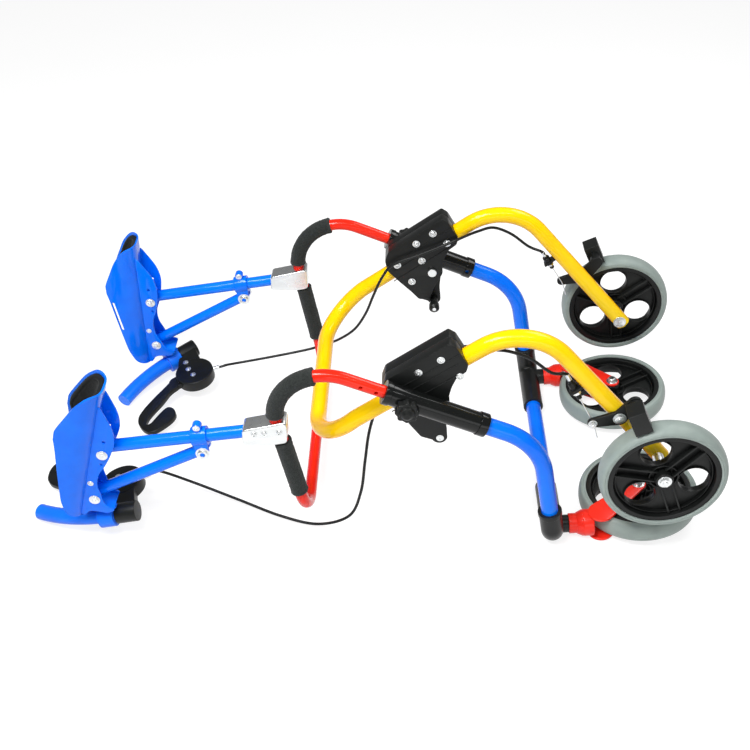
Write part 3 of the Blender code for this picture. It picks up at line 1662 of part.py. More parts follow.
def cable_route(side_name):
    """The brake cable's route, from the housing's ferrule to the adjuster on the rear frame."""
    side = SIDES[side_name]
    frame, _ = grip_frame(side_name)
    out = (frame @ Vector((-0.056, 0.088, 0))) - (frame @ Vector((-0.036, 0.080, 0)))
    exit_point = frame @ Vector((-0.056, 0.088, 0)) + out.normalized() * SEAT_GAP
    upper, lower = stop_barrel(side)
    heading = (lower - upper).normalized()
    tail = [across(side, *place) for place in CABLE_TAIL]
    hanging = LEFT_CABLE if side < 0 else RIGHT_CABLE
    points = [exit_point, exit_point + out.normalized() * 0.015]
    points += [Vector(point) for point in hanging] + tail
    points.append(upper - heading * (SEAT_GAP + 0.012))
    points.append(upper - heading * SEAT_GAP)
    return smooth_route(points, 0.015)


def make_cable(name, side_name):
    """The brake cable's casing, with the bare wire that goes on to the brake arm."""
    side = SIDES[side_name]
    route = cable_route(side_name)
    upper, lower = stop_barrel(side)
    heading = (lower - upper).normalized()
    clamp = brake_pivot(side, BRAKE_ARM_Y) + Vector((BRAKE_CLAMP[0], 0, BRAKE_CLAMP[1]))
    wire_end = clamp - heading * 0.0105
    casing = pipe(name, route, CABLE_RADIUS, 8)
    return join(casing, rod("wire", upper - heading * 0.003, wire_end, WIRE_RADIUS, 6))


def build_side(side_name, root, handlebar_root, rear_root):
    """Every piece of one side, hung on the empties of its joints."""
    side = SIDES[side_name]
    across_axis = Vector((0, 1, 0))
    prefix = side_name + "_"

    sleeve = finish(make_sleeve(prefix + "sleeve", side), BLACK_GLOSS)
    leg = finish(make_leg(prefix + "front_leg", side), BLUE)
    elbow = finish(make_elbow(prefix + "elbow", side), BLACK_GLOSS)
    hang(root, sleeve, leg, elbow)

    knob = finish(make_knob(prefix + "height_knob", side), BLACK_PLASTIC)
    knob_root = joint_empty(prefix + "knob_axis", sleeve_along(side, KNOB_ALONG), across_axis)
    hang(knob_root, knob)
    hang(root, knob_root)

    bend_foam = finish(make_foam(prefix + "bend_foam", side, BEND_FOAM), FOAM)
    run_foam = finish(make_foam(prefix + "run_foam", side, RUN_FOAM), FOAM)
    clamp = finish(make_arm_clamp(prefix + "arm_clamp", side), STEEL)
    post = finish(make_post(prefix + "arm_post", side_name), BLUE)
    hang(handlebar_root, bend_foam, run_foam, clamp, post)

    pivot, _ = slider_pivot(side_name)
    slider = finish(make_slider(prefix + "slider", side_name), BLUE)
    slider_root = joint_empty(prefix + "slider_axis", post_mouth(side), post_direction(side_name))
    strut = finish(make_strut(prefix + "strut", side_name), BLUE)
    strut_root = joint_empty(prefix + "strut_axis", pivot, across_axis)
    hang(strut_root, strut)
    hang(slider_root, slider, strut_root)
    hang(handlebar_root, slider_root)

    trough = finish(make_trough(prefix + "trough", side_name), BLUE)
    pad = finish(make_pad(prefix + "trough_pad", side_name), FOAM)
    trough_root = joint_empty(prefix + "trough_axis", post_end(side_name), across_axis)
    frame, down = grip_frame(side_name)
    grip = finish(make_hand_grip(prefix + "hand_grip", side_name), BLUE)
    housing = finish(make_housing(prefix + "brake_housing", side_name), BLACK_PLASTIC)
    lever = finish(make_lever(prefix + "brake_lever", side_name), BLACK_PLASTIC)
    grip_root = joint_empty(prefix + "grip_axis", frame.translation, down)
    lever_place = frame @ Vector((HOUSING_DISC_T, HOUSING_DISC_N, 0))
    lever_root = joint_empty(prefix + "lever_axis", lever_place, frame.to_3x3().col[2])
    hang(lever_root, lever)
    hang(grip_root, grip, housing, lever_root)
    hang(trough_root, trough, pad, grip_root)
    hang(handlebar_root, trough_root)

    outer = finish(make_outer_bracket(prefix + "bracket_outer", side), BLACK_PLASTIC)
    inner = finish(make_inner_bracket(prefix + "bracket_inner", side), BLACK_PLASTIC)
    stop = finish(make_cable_stop(prefix + "cable_stop", side), BLACK_PLASTIC)
    axle = finish(make_rear_axle(prefix + "rear_axle", side), STEEL)
    plunger = finish(make_plunger(prefix + "lock_plunger", side), BLACK_PLASTIC)
    lock_x, lock_z = plunger_place()
    plunger_root = joint_empty(
        prefix + "plunger_axis", across(side, BRACKET_OUTER_Y, lock_x, lock_z), across_axis
    )
    hang(plunger_root, plunger)
    brake = finish(make_brake(prefix + "brake_arm", side), BLACK_PLASTIC)
    brake_root = joint_empty(prefix + "brake_axis", brake_pivot(side, BRAKE_ARM_Y), across_axis)
    hang(brake_root, brake)

    wheel = across(side, REAR_WHEEL_Y, REAR_WHEEL_X, REAR_WHEEL_Z)
    spin = 8.5 if side < 0 else 20.4
    matrix = wheel_frame(wheel, across_axis, spin)
    tyre = finish(make_tyre(prefix + "rear_tyre", matrix), RUBBER)
    rim = finish(make_rim(prefix + "rear_rim", matrix), BLACK_PLASTIC)
    wheel_root = joint_empty(prefix + "rear_wheel_axis", wheel, across_axis)
    hang(wheel_root, tyre, rim)
    hang(rear_root, outer, inner, stop, axle, plunger_root, brake_root, wheel_root)

    fork = finish(make_fork(prefix + "caster_fork", side), RED_PLASTIC)
    caster_axle = finish(make_caster_axle(prefix + "caster_axle", side), STEEL)
    frame = caster_frame(side)
    swivel_root = joint_empty(prefix + "caster_swivel", stem_origin(side), stem_direction())
    hang(swivel_root, fork, caster_axle)
    caster_centre = frame @ Vector((CASTER_REACH, CASTER_TRAIL, 0))
    caster_matrix = wheel_frame(caster_centre, frame.to_3x3().col[2], 40)
    caster_tyre = finish(make_tyre(prefix + "caster_tyre", caster_matrix), RUBBER)
    caster_rim = finish(make_rim(prefix + "caster_rim", caster_matrix), BLACK_PLASTIC)
    caster_root = joint_empty(prefix + "caster_wheel_axis", caster_centre, frame.to_3x3().col[2])
    hang(caster_root, caster_tyre, caster_rim)
    hang(swivel_root, caster_root)
    hang(root, swivel_root)

    cable = finish(make_cable(prefix + "brake_cable", side_name), BLACK_PLASTIC)
    hang(root, cable)


def build():
    root = joint_empty("frame_origin", Vector((0, 0, 0)), Vector((0, 0, 1)))
    slide_axis = sleeve_along(1, 1) - sleeve_along(1, 0)
    handlebar_root = joint_empty("handlebar_axis", sleeve_along(0, 0), slide_axis)
    rear_root = joint_empty("fold_axis", sleeve_along(0, PIVOT_ALONG), Vector((0, 1, 0)))
    hang(root, finish(make_cross_tube(), BLUE))
    hang(handlebar_root, finish(make_handlebar(), RED))
    hang(rear_root, finish(make_rear_frame(), YELLOW))
    for side_name in SIDES:
        build_side(side_name, root, handlebar_root, rear_root)
    hang(root, handlebar_root, rear_root)
    root.location = (ORIGIN_SHIFT, 0, -ORIGIN_DROP)


build()
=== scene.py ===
import json
import math

import bmesh
import bpy
from mathutils import Matrix, Quaternion, Vector, noise

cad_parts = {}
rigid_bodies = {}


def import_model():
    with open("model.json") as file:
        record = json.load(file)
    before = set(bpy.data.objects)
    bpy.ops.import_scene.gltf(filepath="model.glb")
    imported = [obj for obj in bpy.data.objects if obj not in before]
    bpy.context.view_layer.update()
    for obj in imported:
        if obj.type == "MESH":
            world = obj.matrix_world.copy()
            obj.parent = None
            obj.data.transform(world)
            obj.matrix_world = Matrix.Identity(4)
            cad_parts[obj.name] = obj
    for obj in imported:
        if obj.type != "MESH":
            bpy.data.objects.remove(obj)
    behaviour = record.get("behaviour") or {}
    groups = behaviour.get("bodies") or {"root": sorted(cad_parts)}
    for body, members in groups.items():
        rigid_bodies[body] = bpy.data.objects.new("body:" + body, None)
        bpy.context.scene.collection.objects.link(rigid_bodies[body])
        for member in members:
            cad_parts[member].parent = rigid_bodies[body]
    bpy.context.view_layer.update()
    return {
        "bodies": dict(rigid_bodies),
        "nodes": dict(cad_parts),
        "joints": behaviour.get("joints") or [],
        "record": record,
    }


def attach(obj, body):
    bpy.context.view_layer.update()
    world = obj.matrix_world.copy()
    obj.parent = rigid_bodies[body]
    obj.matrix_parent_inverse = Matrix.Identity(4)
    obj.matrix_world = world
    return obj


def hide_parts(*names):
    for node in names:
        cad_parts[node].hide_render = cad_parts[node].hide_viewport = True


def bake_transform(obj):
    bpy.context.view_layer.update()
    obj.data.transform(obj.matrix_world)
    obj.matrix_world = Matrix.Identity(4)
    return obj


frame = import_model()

# Where the bottom centre lies from the point that the drawing sizes start at
ORIGIN_SHIFT = 0.0451
ORIGIN_DROP = 0.0012

# Tubes, as outer and inner radii
FRAME_TUBE = 0.014
BAR_TUBE = 0.010
POST_TUBE = 0.0105
POST_BORE = 0.0088
STRUT_TUBE = 0.00975
STRUT_BORE = 0.008

# Gaps between pieces that seat on each other and between pieces that run in each other
SEAT_GAP = 0.0003
RUN_GAP = 0.0003

# How far a cutter reaches past what it cuts, and how far joined solids sink into each other
PAST = 0.003
SUNK = 0.002

# How finely round shapes are drawn
TUBE_SIDES = 48
PIN_SIDES = 32
GRIP_SIDES = 28
CABLE_SIDES = 20
FINE_SIDES = 64
SWEEP_STEP = 0.003
SKIN_SCALE = 260
BEND_STEP = math.radians(4)

# Sleeves: the straight black tubes that join the front legs and the handlebar
SLEEVE_Y = 0.230
SLEEVE_RADIUS = 0.0175
SLEEVE_LENGTH = 0.169
SLEEVE_START_X = -0.0144
SLEEVE_START_Z = 0.316
SLEEVE_SLOPE = math.radians(21.8)
COLLAR_RADIUS = 0.019
COLLAR_START_LENGTH = 0.010
COLLAR_END_LENGTH = 0.014
COLLAR_LIP = 0.0005
LEG_INSERTION = 0.040

# Front legs, elbows and the front cross tube
LEG_CORNER_X = 0.2295
LEG_BEND_RADIUS = 0.110
CROSS_X = 0.2685
CROSS_Z = 0.0188
ELBOW_RADIUS = 0.0185
FOOT_Z = 0.0012
ELBOW_BEND = 0.0225
ELBOW_RIM_RADIUS = 0.01975
ELBOW_RIM_LENGTH = 0.008
ELBOW_HEIGHT = 0.0577
ELBOW_REACH_Y = 0.112
CROSS_END_Y = 0.1948
LEG_END_HEIGHT = 0.014

# Handlebar, from the sleeves over the bends and down to its cross tube
BAR_INSERTION = 0.125
BAR_TOP_X = -0.2095
BAR_TOP_BEND = 0.080
BAR_LOW_X = -0.139
BAR_LOW_Y = 0.218
BAR_LOW_Z = 0.045
BAR_LOW_BEND = 0.055
HEIGHT_PITCH = 0.025
HEIGHT_HOLES = range(-3, 4)
HEIGHT_HOLE_RADIUS = 0.003
FOAM_RADIUS = 0.014
BEND_FOAM = (0.110, 0.2195)
RUN_FOAM = (0.270, 0.3845)
FOAM_ROUGHNESS = 0.0005
FOAM_STEP = 0.0025
FOAM_END_LENGTH = 0.006
# How the foam swells near its ends, as distances from the end and rises over its radius
FOAM_END = [(0.0001, -0.0011), (0.0007, -0.0001), (0.0022, 0.0006), (0.0050, 0.0002)]

# Height knobs
KNOB_ALONG = 0.0376
KNOB_RADIUS = 0.0172
KNOB_FLUTE = 0.0012
KNOB_FLUTES = 8
KNOB_THICKNESS = 0.014
KNOB_DOME_RADIUS = 0.011
KNOB_DOME_HEIGHT = 0.008
KNOB_STUD = 0.0032
KNOB_BOSS_RADIUS = 0.0085
KNOB_BOSS_HEIGHT = 0.003

# Rear frame tube
REAR_Y = 0.190
REAR_APEX_X = 0.2004
REAR_APEX_Z = 0.4216
REAR_APEX_BEND = 0.094
REAR_KINK_X = -0.060
REAR_SLOPE = math.radians(36.28)
REAR_KINK_BEND = 0.060
REAR_CROSS_X = -0.1255
REAR_CROSS_Z = 0.169
REAR_CROSS_BEND = 0.084
REAR_END_OVERRUN = 0.014

# Fold joint: pivots on the sleeves, moulded brackets on the rear frame
PIVOT_ALONG = 0.088
PIVOT_PIN = 0.005
PIVOT_HEAD = 0.008
PIVOT_PIN_PROUD = 0.0035
BRACKET_OUTER_Y = 0.2105
BRACKET_INNER_Y = 0.168
BRACKET_BOLT = 0.005
BRACKET_BOLT_HEIGHT = 0.003
BRACKET_LOBE_RADIUS = 0.019
PLUNGER_RADIUS_FROM_PIVOT = 0.0713
FOLD_ANGLE = math.radians(63.5)
PLUNGER_PIN = 0.0032
PLUNGER_LOBE_RADIUS = 0.0125
PLUNGER_BARREL = 0.0075
PLUNGER_BARREL_Y = 0.172
PLUNGER_KNOB = 0.0095
PLUNGER_KNOB_Y = 0.152

# Wheels, the same at the back and on the casters
WHEEL_RADIUS = 0.100
TYRE_HALF_WIDTH = 0.018
TYRE_DEPTH = 0.0128
# The tyre's side, as depths under the tread and insets from the widest place
TYRE_PROFILE = [
    (0.0098, 0), (0.0092, 0.0005), (0.0086, 0.0005), (0.0080, 0), (0.0062, 0.0003), (0.0044, 0.0014),
    (0.0029, 0.0032), (0.0017, 0.0056), (0.0008, 0.0088), (0.0002, 0.0130),
]
RIM_RADIUS = WHEEL_RADIUS - TYRE_DEPTH
RIM_HALF_WIDTH = 0.0155
RIM_DEPTH = 0.0117
RIM_RING = RIM_RADIUS - RIM_DEPTH
WEB_HALF = 0.003
HUB_RADIUS = 0.014
HUB_HALF = 0.0187
AXLE = 0.005
WHEEL_HOLE_RADIUS = 0.0243
WHEEL_HOLE_AT = 0.0492
RIB_OFFSET = 0.009
RIB_THICKNESS = 0.003
RIB_HALF = 0.0115
WHEEL_STEPS = 96
HUB_RING = (0.0212, 0.0232)
OUTER_RING = (0.0742, 0.0760)
LIP_WIDTH = 0.0017
LIP_HALF = 0.0058

# Rear wheels
REAR_WHEEL_X = 0.4225
REAR_WHEEL_Y = 0.245
REAR_WHEEL_Z = 0.173
AXLE_HEAD = 0.009
AXLE_HEAD_HEIGHT = 0.0045
AXLE_NUT = 0.0085
AXLE_NUT_HEIGHT = 0.006

# Brake arms with their shoes
BRAKE_PIVOT_FROM_AXLE = 0.109
BRAKE_ARM_THICKNESS = 0.006
BRAKE_ARM_Y = 0.2045
BRAKE_CLAMP = (-0.040, -0.011)
BRAKE_BOSS = 0.013
BRAKE_CLAMP_END = 0.008
BRAKE_CARRIER_END = 0.011
BRAKE_POST = 0.009
BRAKE_SHOE_GAP = 0.0025
BRAKE_SHOE_LENGTH = 0.040
BRAKE_SHOE_WIDTH = 0.027
BRAKE_SHOE_ANGLE = math.radians(115.5)
BRAKE_SHOE_HALF_WIDTH = 0.016

# Cable stops
STOP_FROM_AXLE = 0.186
STOP_OFFSET = 0.026
STOP_BARREL = 0.0042
STOP_BARREL_LENGTH = 0.034
STOP_PLATE_THICKNESS = 0.004
STOP_PLATE_WIDTH = 0.016
CABLE_RADIUS = 0.0025
WIRE_RADIUS = 0.0009
WIRE_BORE = 0.0016
CABLE_TAIL = [
    (0.158, -0.004, 0.303), (0.158, 0.045, 0.325), (0.160, 0.098, 0.349), (0.168, 0.122, 0.357),
    (0.180, 0.146, 0.361), (0.189, 0.174, 0.364), (0.190, 0.207, 0.351), (0.190, 0.240, 0.326),
]
LEFT_CABLE = [
    (-0.350, -0.118, 0.022), (-0.266, -0.150, 0.012), (-0.190, -0.184, 0.008), (-0.125, -0.206, 0.012),
    (-0.072, -0.208, 0.034), (-0.052, -0.201, 0.082), (-0.045, -0.186, 0.138), (-0.038, -0.170, 0.190),
    (-0.022, -0.160, 0.248),
]
RIGHT_CABLE = [
    (-0.330, 0.205, 0.040), (-0.250, 0.226, 0.044), (-0.172, 0.238, 0.056), (-0.138, 0.234, 0.072),
    (-0.108, 0.212, 0.100), (-0.076, 0.190, 0.140), (-0.054, 0.176, 0.186), (-0.040, 0.167, 0.230),
    (-0.024, 0.160, 0.274),
]

# Casters
STEM_Y = 0.205
STEM_RISE = math.radians(6.0)
STEM_RADIUS = 0.006
STEM_ROOT = 0.007
STUB_RADIUS = 0.015
STUB_LENGTH = 0.028
CASTER_REACH = 0.1533
CASTER_TRAIL = 0.061
FORK_COLLAR_RADIUS = 0.017
FORK_COLLAR_LENGTH = 0.013
FORK_CROWN_RADIUS = 0.0225
FORK_CROWN_END = 0.070
FORK_ARM_INNER = 0.0195
FORK_ARM_OUTER = 0.0240
FORK_ARM_ROOT_RADIUS = 0.0215
FORK_ARM_ROOT_AT = 0.082
FORK_ARM_END_RADIUS = 0.013
FORK_WHEEL_CLEARANCE = 0.0025
CASTER_AXLE_HEAD = 0.008
CASTER_AXLE_HALF = 0.0325

# Arm supports
SUPPORT_Y = 0.222
CLAMP_INNER_Y = 0.2065
CLAMP_OUTER_Y = 0.2395
CLAMP_SCREW = 0.0045
CLAMP_SCREW_HEIGHT = 0.0025
POST_ROOT_X = -0.201
POST_MOUTH_X = -0.233
POST_MOUTH_Z = 0.2284
SUPPORTS = {
    -1: {"drop": 9.0, "reach": 0.2255, "lean": 15.5, "swing": 0.0, "dip": 27.6},
    1: {"drop": 9.9, "reach": 0.2345, "lean": 0.4, "swing": 38.0, "dip": 10.5},
}
SLIDER_RADIUS = 0.0155
SLIDER_HALF = 0.0125
SLIDER_EAR_RISE = 0.020
SLIDER_EAR_RADIUS = 0.0075
SLIDER_EAR_HALF = 0.006
SLIDER_DROP = 0.026
SLIDER_CHEEK = 0.003
STRUT_SIDE_GAP = 0.0004
STRUT_PIN = 0.0035
STRUT_HEAD = 0.0085
STRUT_LENGTH = 0.2063
STRUT_OVERRUN = 0.0038

# Arm troughs, drawn along the forearm (l), towards the open side (o) and across
TROUGH_BOLTS = 0.099
TROUGH_FOLD_HALF = 0.0225
TROUGH_SHEET = 0.003
TROUGH_SECTION = [
    (-0.0430, 0.085), (-0.0428, 0.062), (-0.0412, 0.050), (-0.0375, 0.038), (-0.0315, 0.0285),
    (-0.0235, 0.0215), (-0.0140, 0.0180), (0.0, 0.0175), (0.0140, 0.0180), (0.0235, 0.0215),
    (0.0315, 0.0285), (0.0375, 0.038), (0.0412, 0.050), (0.0428, 0.062), (0.0430, 0.085),
]
TROUGH_OUTLINE = [
    (-0.121, 0.005), (-0.121, 0.034), (-0.100, 0.052), (-0.052, 0.0735), (-0.040, 0.0755),
    (-0.020, 0.0705), (0.098, 0.0500), (0.128, 0.0385), (0.140, 0.0220), (0.140, 0.005),
]
PAD_OUTLINE = [
    (-0.117, 0.005), (-0.117, 0.032), (-0.098, 0.0485), (-0.052, 0.0695), (-0.040, 0.0715),
    (-0.021, 0.0629), (0.096, 0.0424), (0.120, 0.0350), (0.128, 0.0250), (0.128, 0.005),
]
STRAP_SLOT_AT = (0.018, 0.0590)
STRAP_SLOT_SLANT = -0.172
STRAP_SLOT_LENGTH = 0.060
STRAP_SLOT_HALF = 0.0022
TROUGH_PIN = 0.004
TROUGH_HEAD = 0.007
PAD_THICKNESS = 0.008

# Hand grips, on a swivel under the front end of the trough
GRIP_FACE = 0.1245
GRIP_ALONG = 0.150
GRIP_OPEN = -0.024
GRIP_PIN = 0.005
GRIP_KNUCKLE = 0.011
GRIP_RADIUS = 0.0135
GRIP_LENGTH = 0.135
GRIP_BEND = math.radians(28)
CUFF_RADIUS = 0.0205
CUFF_HALF = 0.013
HOUSING_CLAMP_RADIUS = 0.0172
HOUSING_CLAMP_START = 0.0155
HOUSING_CLAMP_LENGTH = 0.036
GRIP_SPIGOT = 0.008
GRIP_SPIGOT_END = 0.045
HOUSING_DISC_RADIUS = 0.037
HOUSING_DISC_HALF = 0.0115
HOUSING_DISC_T = -0.010
HOUSING_DISC_N = 0.072
FERRULE_START = (-0.036, 0.080, 0)
FERRULE_END = (-0.056, 0.088, 0)
FERRULE_RADIUS = 0.0045
LEVER_HALF = 0.005
LEVER_SLOT_HALF = 0.0058
LEVER_PIN = 0.004

SIDES = {"left": -1, "right": 1}

# How the soft lining is padded
PAD_ROUND = 0.0045
PAD_SEAM_AT = 0.0075
PAD_SEAM_WIDTH = 0.0012
PAD_SEAM_DEPTH = 0.0009
PAD_CRUMPLE = 0.0007

# How far each rear wheel and each caster wheel is turned about its axle, in degrees
REAR_SPINS = {-1: 68.5, 1: 80.4}
CASTER_SPINS = {-1: 40, 1: 2}

# How far the bracket's upper edge lies above its tube's axis
BRACKET_TOP_RISE = 0.0272

# Where the brake cables pass from one body to the next, as shares of their length
CABLE_SHARES = (0.0, 0.13, 0.34, 0.55, 1.0)

# The studio
CAMERA_PLACE = (0.0451, -1.5027, 1.3068)
CAMERA_ANGLES = (52.964, 0.0, 1.2516)
CAMERA_LENS = 51.56
FLOOR_HALF = 5.0
FLOOR_GLOW = 0.62
FLOOR_BRIGHTNESS = 1.32
WORLD_LIGHT = 0.24
LAMPS = [
    ("key", (-0.7, -0.8, 2.0), (0, 0, 0.1), (1.0, 0.7), 42),
    ("fill", (1.2, 0.8, 1.9), (0.1, 0, 0.1), (1.0, 0.8), 17),
    ("strip", (0.1, -1.2, 2.1), (0, 0, 0.15), (2.0, 0.06), 13),
    ("front", (0.5, -1.7, 0.5), (0.1, 0, 0.15), (1.4, 0.5), 4),
]

BODY_OF = {node: body for body, nodes in frame["record"]["behaviour"]["bodies"].items() for node in nodes}

SHIFT = Vector((ORIGIN_SHIFT, 0, -ORIGIN_DROP))

# Shells with these names are fasteners: they become a steel piece of their own
FASTENERS = ("screw", "bolt", "washer", "pivot_head", "steel")

SCENE = bpy.context.scene


def cleared(radius):
    """The radius of a round hole that clears a shaft of this radius."""
    return radius + RUN_GAP


def shell(name, shape):
    """An object at the origin that holds this bmesh, with its faces pointing out."""
    bmesh.ops.recalc_face_normals(shape, faces=shape.faces)
    mesh = bpy.data.meshes.new(name)
    shape.to_mesh(mesh)
    shape.free()
    obj = bpy.data.objects.new(name, mesh)
    SCENE.collection.objects.link(obj)
    return obj


def baked(obj, matrix=None):
    """Replaces a curve or an object with modifiers by the plain mesh that it shows."""
    bpy.context.view_layer.update()
    evaluated = obj.evaluated_get(bpy.context.evaluated_depsgraph_get())
    mesh = bpy.data.meshes.new_from_object(evaluated)
    shape = bmesh.new()
    shape.from_mesh(mesh)
    bpy.data.meshes.remove(mesh)
    bmesh.ops.remove_doubles(shape, verts=shape.verts, dist=0.00001)
    if matrix is not None:
        shape.transform(matrix)
    name = obj.name
    bpy.data.objects.remove(obj)
    return shell(name, shape)


def join(*items):
    """One list of every shell in the items, some of which are lists of shells."""
    shells = []
    for item in items:
        if isinstance(item, list):
            shells += join(*item)
        else:
            shells.append(item)
    return shells


def span(obj):
    """The lowest and the highest corner of the box round a shell."""
    corners = [Vector(corner) for corner in obj.bound_box]
    lowest = [min(corner[i] for corner in corners) for i in range(3)]
    highest = [max(corner[i] for corner in corners) for i in range(3)]
    return lowest, highest


def touching(one, other):
    """Whether the boxes round two shells overlap."""
    low_a, high_a = span(one)
    low_b, high_b = span(other)
    return all(low_a[i] < high_b[i] and low_b[i] < high_a[i] for i in range(3))


def cut(base, *tools):
    """Cuts the tools from each shell that they touch, and removes them."""
    bpy.context.view_layer.update()
    cutters = join(*tools)
    result = []
    for solid in join(base):
        near = [tool for tool in cutters if touching(solid, tool)]
        for tool in near:
            modifier = solid.modifiers.new(tool.name, "BOOLEAN")
            modifier.operation = "DIFFERENCE"
            modifier.object = tool
        result.append(baked(solid) if near else solid)
    for tool in cutters:
        bpy.data.objects.remove(tool)
    return result


def facing(direction, origin):
    """A matrix at origin with +Z along direction."""
    return Matrix.Translation(origin) @ direction.to_track_quat("Z", "Y").to_matrix().to_4x4()


def eased(points, radius, closed=False, steps=4):
    """The same outline with its corners rounded off."""
    places = [Vector(point) for point in points]
    result = []
    for i, corner in enumerate(places):
        if not closed and i in (0, len(places) - 1):
            result.append(tuple(corner))
            continue
        before = places[i - 1] - corner
        after = places[(i + 1) % len(places)] - corner
        start = corner + before.normalized() * min(radius, before.length * 0.45)
        end = corner + after.normalized() * min(radius, after.length * 0.45)
        for k in range(steps + 1):
            t = k / steps
            result.append(tuple(start * (1 - t) ** 2 + corner * 2 * t * (1 - t) + end * t * t))
    return result


def turned(name, profile, matrix, steps=TUBE_SIDES):
    """A shell turned about Z from (radius, height) points; off the axis it closes on itself."""
    shape = bmesh.new()
    rings = []
    for radius, height in profile:
        if radius < 1e-6:
            rings.append([shape.verts.new(matrix @ Vector((0, 0, height)))] * steps)
            continue
        ring = []
        for i in range(steps):
            angle = math.tau * i / steps
            place = Vector((radius * math.cos(angle), radius * math.sin(angle), height))
            ring.append(shape.verts.new(matrix @ place))
        rings.append(ring)
    pairs = list(zip(rings, rings[1:]))
    if profile[0][0] > 1e-6:
        pairs.append((rings[-1], rings[0]))
    for lower, upper in pairs:
        for i in range(steps):
            j = (i + 1) % steps
            corners = list(dict.fromkeys([lower[i], lower[j], upper[j], upper[i]]))
            if len(corners) > 2:
                shape.faces.new(corners)
    return shell(name, shape)


def rod(name, start, end, radius, sides=TUBE_SIDES, end_radius=None, ease=0.0007):
    """A cylinder or cone between two points with rounded edges; six sides make a hexagon head."""
    length = (end - start).length
    far_radius = radius if end_radius is None else end_radius
    matrix = facing(end - start, start)
    if sides == 6:
        profile = [(0, 0), (radius, 0), (radius, length * 0.86), (radius * 0.84, length), (0, length)]
        return turned(name, profile, matrix, 6)
    edge = min(ease, 0.3 * radius, 0.3 * far_radius, 0.3 * length)
    corners = [(0, 0), (radius, 0), (far_radius, length), (0, length)]
    return turned(name, eased(corners, edge), matrix, sides)


def screw_head(place, out, radius, height, name="screw"):
    """A domed screw head with a driver socket, and the washer under it."""
    matrix = facing(out, place)
    socket = radius * 0.45
    profile = [
        (0, height * 0.3), (socket, height * 0.3), (socket, height), (radius * 0.72, height),
        (radius, height * 0.55), (radius, 0), (0, 0),
    ]
    head = turned(name, eased(profile, radius * 0.12), matrix, PIN_SIDES)
    washer = rod("washer", place - out * 0.0004, place + out * 0.0006, radius * 1.35)
    return [head, washer]


def hex_bolt(place, out, radius, height):
    """A hexagon head on a washer, with the rounded end of the thread showing."""
    washer = rod("washer", place - out * 0.0004, place + out * 0.0009, radius * 1.28)
    head = rod("bolt", place, place + out * height, radius, 6)
    end = rod("bolt_end", place, place + out * (height + 0.0012), radius * 0.5, ease=0.001)
    return [washer, head, end]


def brick(name, size, matrix, ease=0.0007):
    """A box of this size with rounded edges, centred on the matrix."""
    shape = bmesh.new()
    bmesh.ops.create_cube(shape, size=1.0)
    bmesh.ops.scale(shape, vec=Vector(size), verts=shape.verts)
    edge = min(ease, 0.3 * min(size))
    bmesh.ops.bevel(shape, geom=shape.edges[:], offset=edge, segments=3, affect="EDGES", profile=0.5)
    shape.transform(matrix)
    return shell(name, shape)


def pipe(name, points, radius, sides=TUBE_SIDES):
    """A round tube along points, with closed ends."""
    curve = bpy.data.curves.new(name, "CURVE")
    curve.dimensions = "3D"
    curve.bevel_depth = radius
    curve.bevel_resolution = sides // 2 - 2
    curve.use_fill_caps = True
    spline = curve.splines.new("POLY")
    spline.points.add(len(points) - 1)
    for point, place in zip(spline.points, points):
        point.co = (*place, 1.0)
    obj = bpy.data.objects.new(name, curve)
    SCENE.collection.objects.link(obj)
    return baked(obj)


def slab(name, outline, thickness, matrix, ease=0.0008, holes=()):
    """A plate of this outline with rounded edges, centred on the matrix's XY plane."""
    edge = min(ease, 0.3 * thickness)
    curve = bpy.data.curves.new(name, "CURVE")
    curve.dimensions = "2D"
    curve.fill_mode = "BOTH"
    curve.extrude = thickness / 2 - edge
    curve.bevel_depth = edge
    curve.bevel_resolution = 2
    curve.offset = -edge
    for loop in (outline, *holes):
        spline = curve.splines.new("POLY")
        spline.points.add(len(loop) - 1)
        spline.use_cyclic_u = True
        for point, place in zip(spline.points, loop):
            point.co = (place[0], place[1], 0.0, 1.0)
    obj = bpy.data.objects.new(name, curve)
    SCENE.collection.objects.link(obj)
    return baked(obj, matrix)


def circle(centre, radius, steps=WHEEL_STEPS):
    """The points of a closed circle in a plane."""
    return arc(centre, radius, 0, 360 - 360 / steps, steps - 1)


def place_at(line, distance):
    """The point of a line of points at a distance along it."""
    walked = 0.0
    for a, b in zip(line, line[1:]):
        length = (b - a).length
        if distance <= walked + length:
            return a.lerp(b, (distance - walked) / length)
        walked += length
    return line[-1].copy()


def length_of(line):
    """The length of a line of points."""
    return sum((b - a).length for a, b in zip(line, line[1:]))


def sweep(name, line, stations, sides=TUBE_SIDES, roughness=0.0):
    """A round shell along a line, with its radius given at distances along it."""
    shape = bmesh.new()
    rings = []
    across_line = None
    for distance, radius in stations:
        point = place_at(line, distance)
        before = place_at(line, max(distance - SWEEP_STEP, 0.0))
        heading = (place_at(line, distance + SWEEP_STEP) - before).normalized()
        if across_line is None:
            across_line = heading.orthogonal().normalized()
        across_line = (across_line - heading * across_line.dot(heading)).normalized()
        other = heading.cross(across_line)
        ring = []
        for i in range(sides):
            angle = math.tau * i / sides
            spoke = across_line * math.cos(angle) + other * math.sin(angle)
            reach = radius
            if roughness:
                reach += roughness * noise.noise((point + spoke * radius) * SKIN_SCALE)
            ring.append(shape.verts.new(point + spoke * reach))
        rings.append(ring)
    for lower, upper in zip(rings, rings[1:]):
        for i in range(sides):
            j = (i + 1) % sides
            shape.faces.new([lower[i], lower[j], upper[j], upper[i]])
    for ring in (rings[0][::-1], rings[-1]):
        shape.faces.new(ring)
    return shell(name, shape)


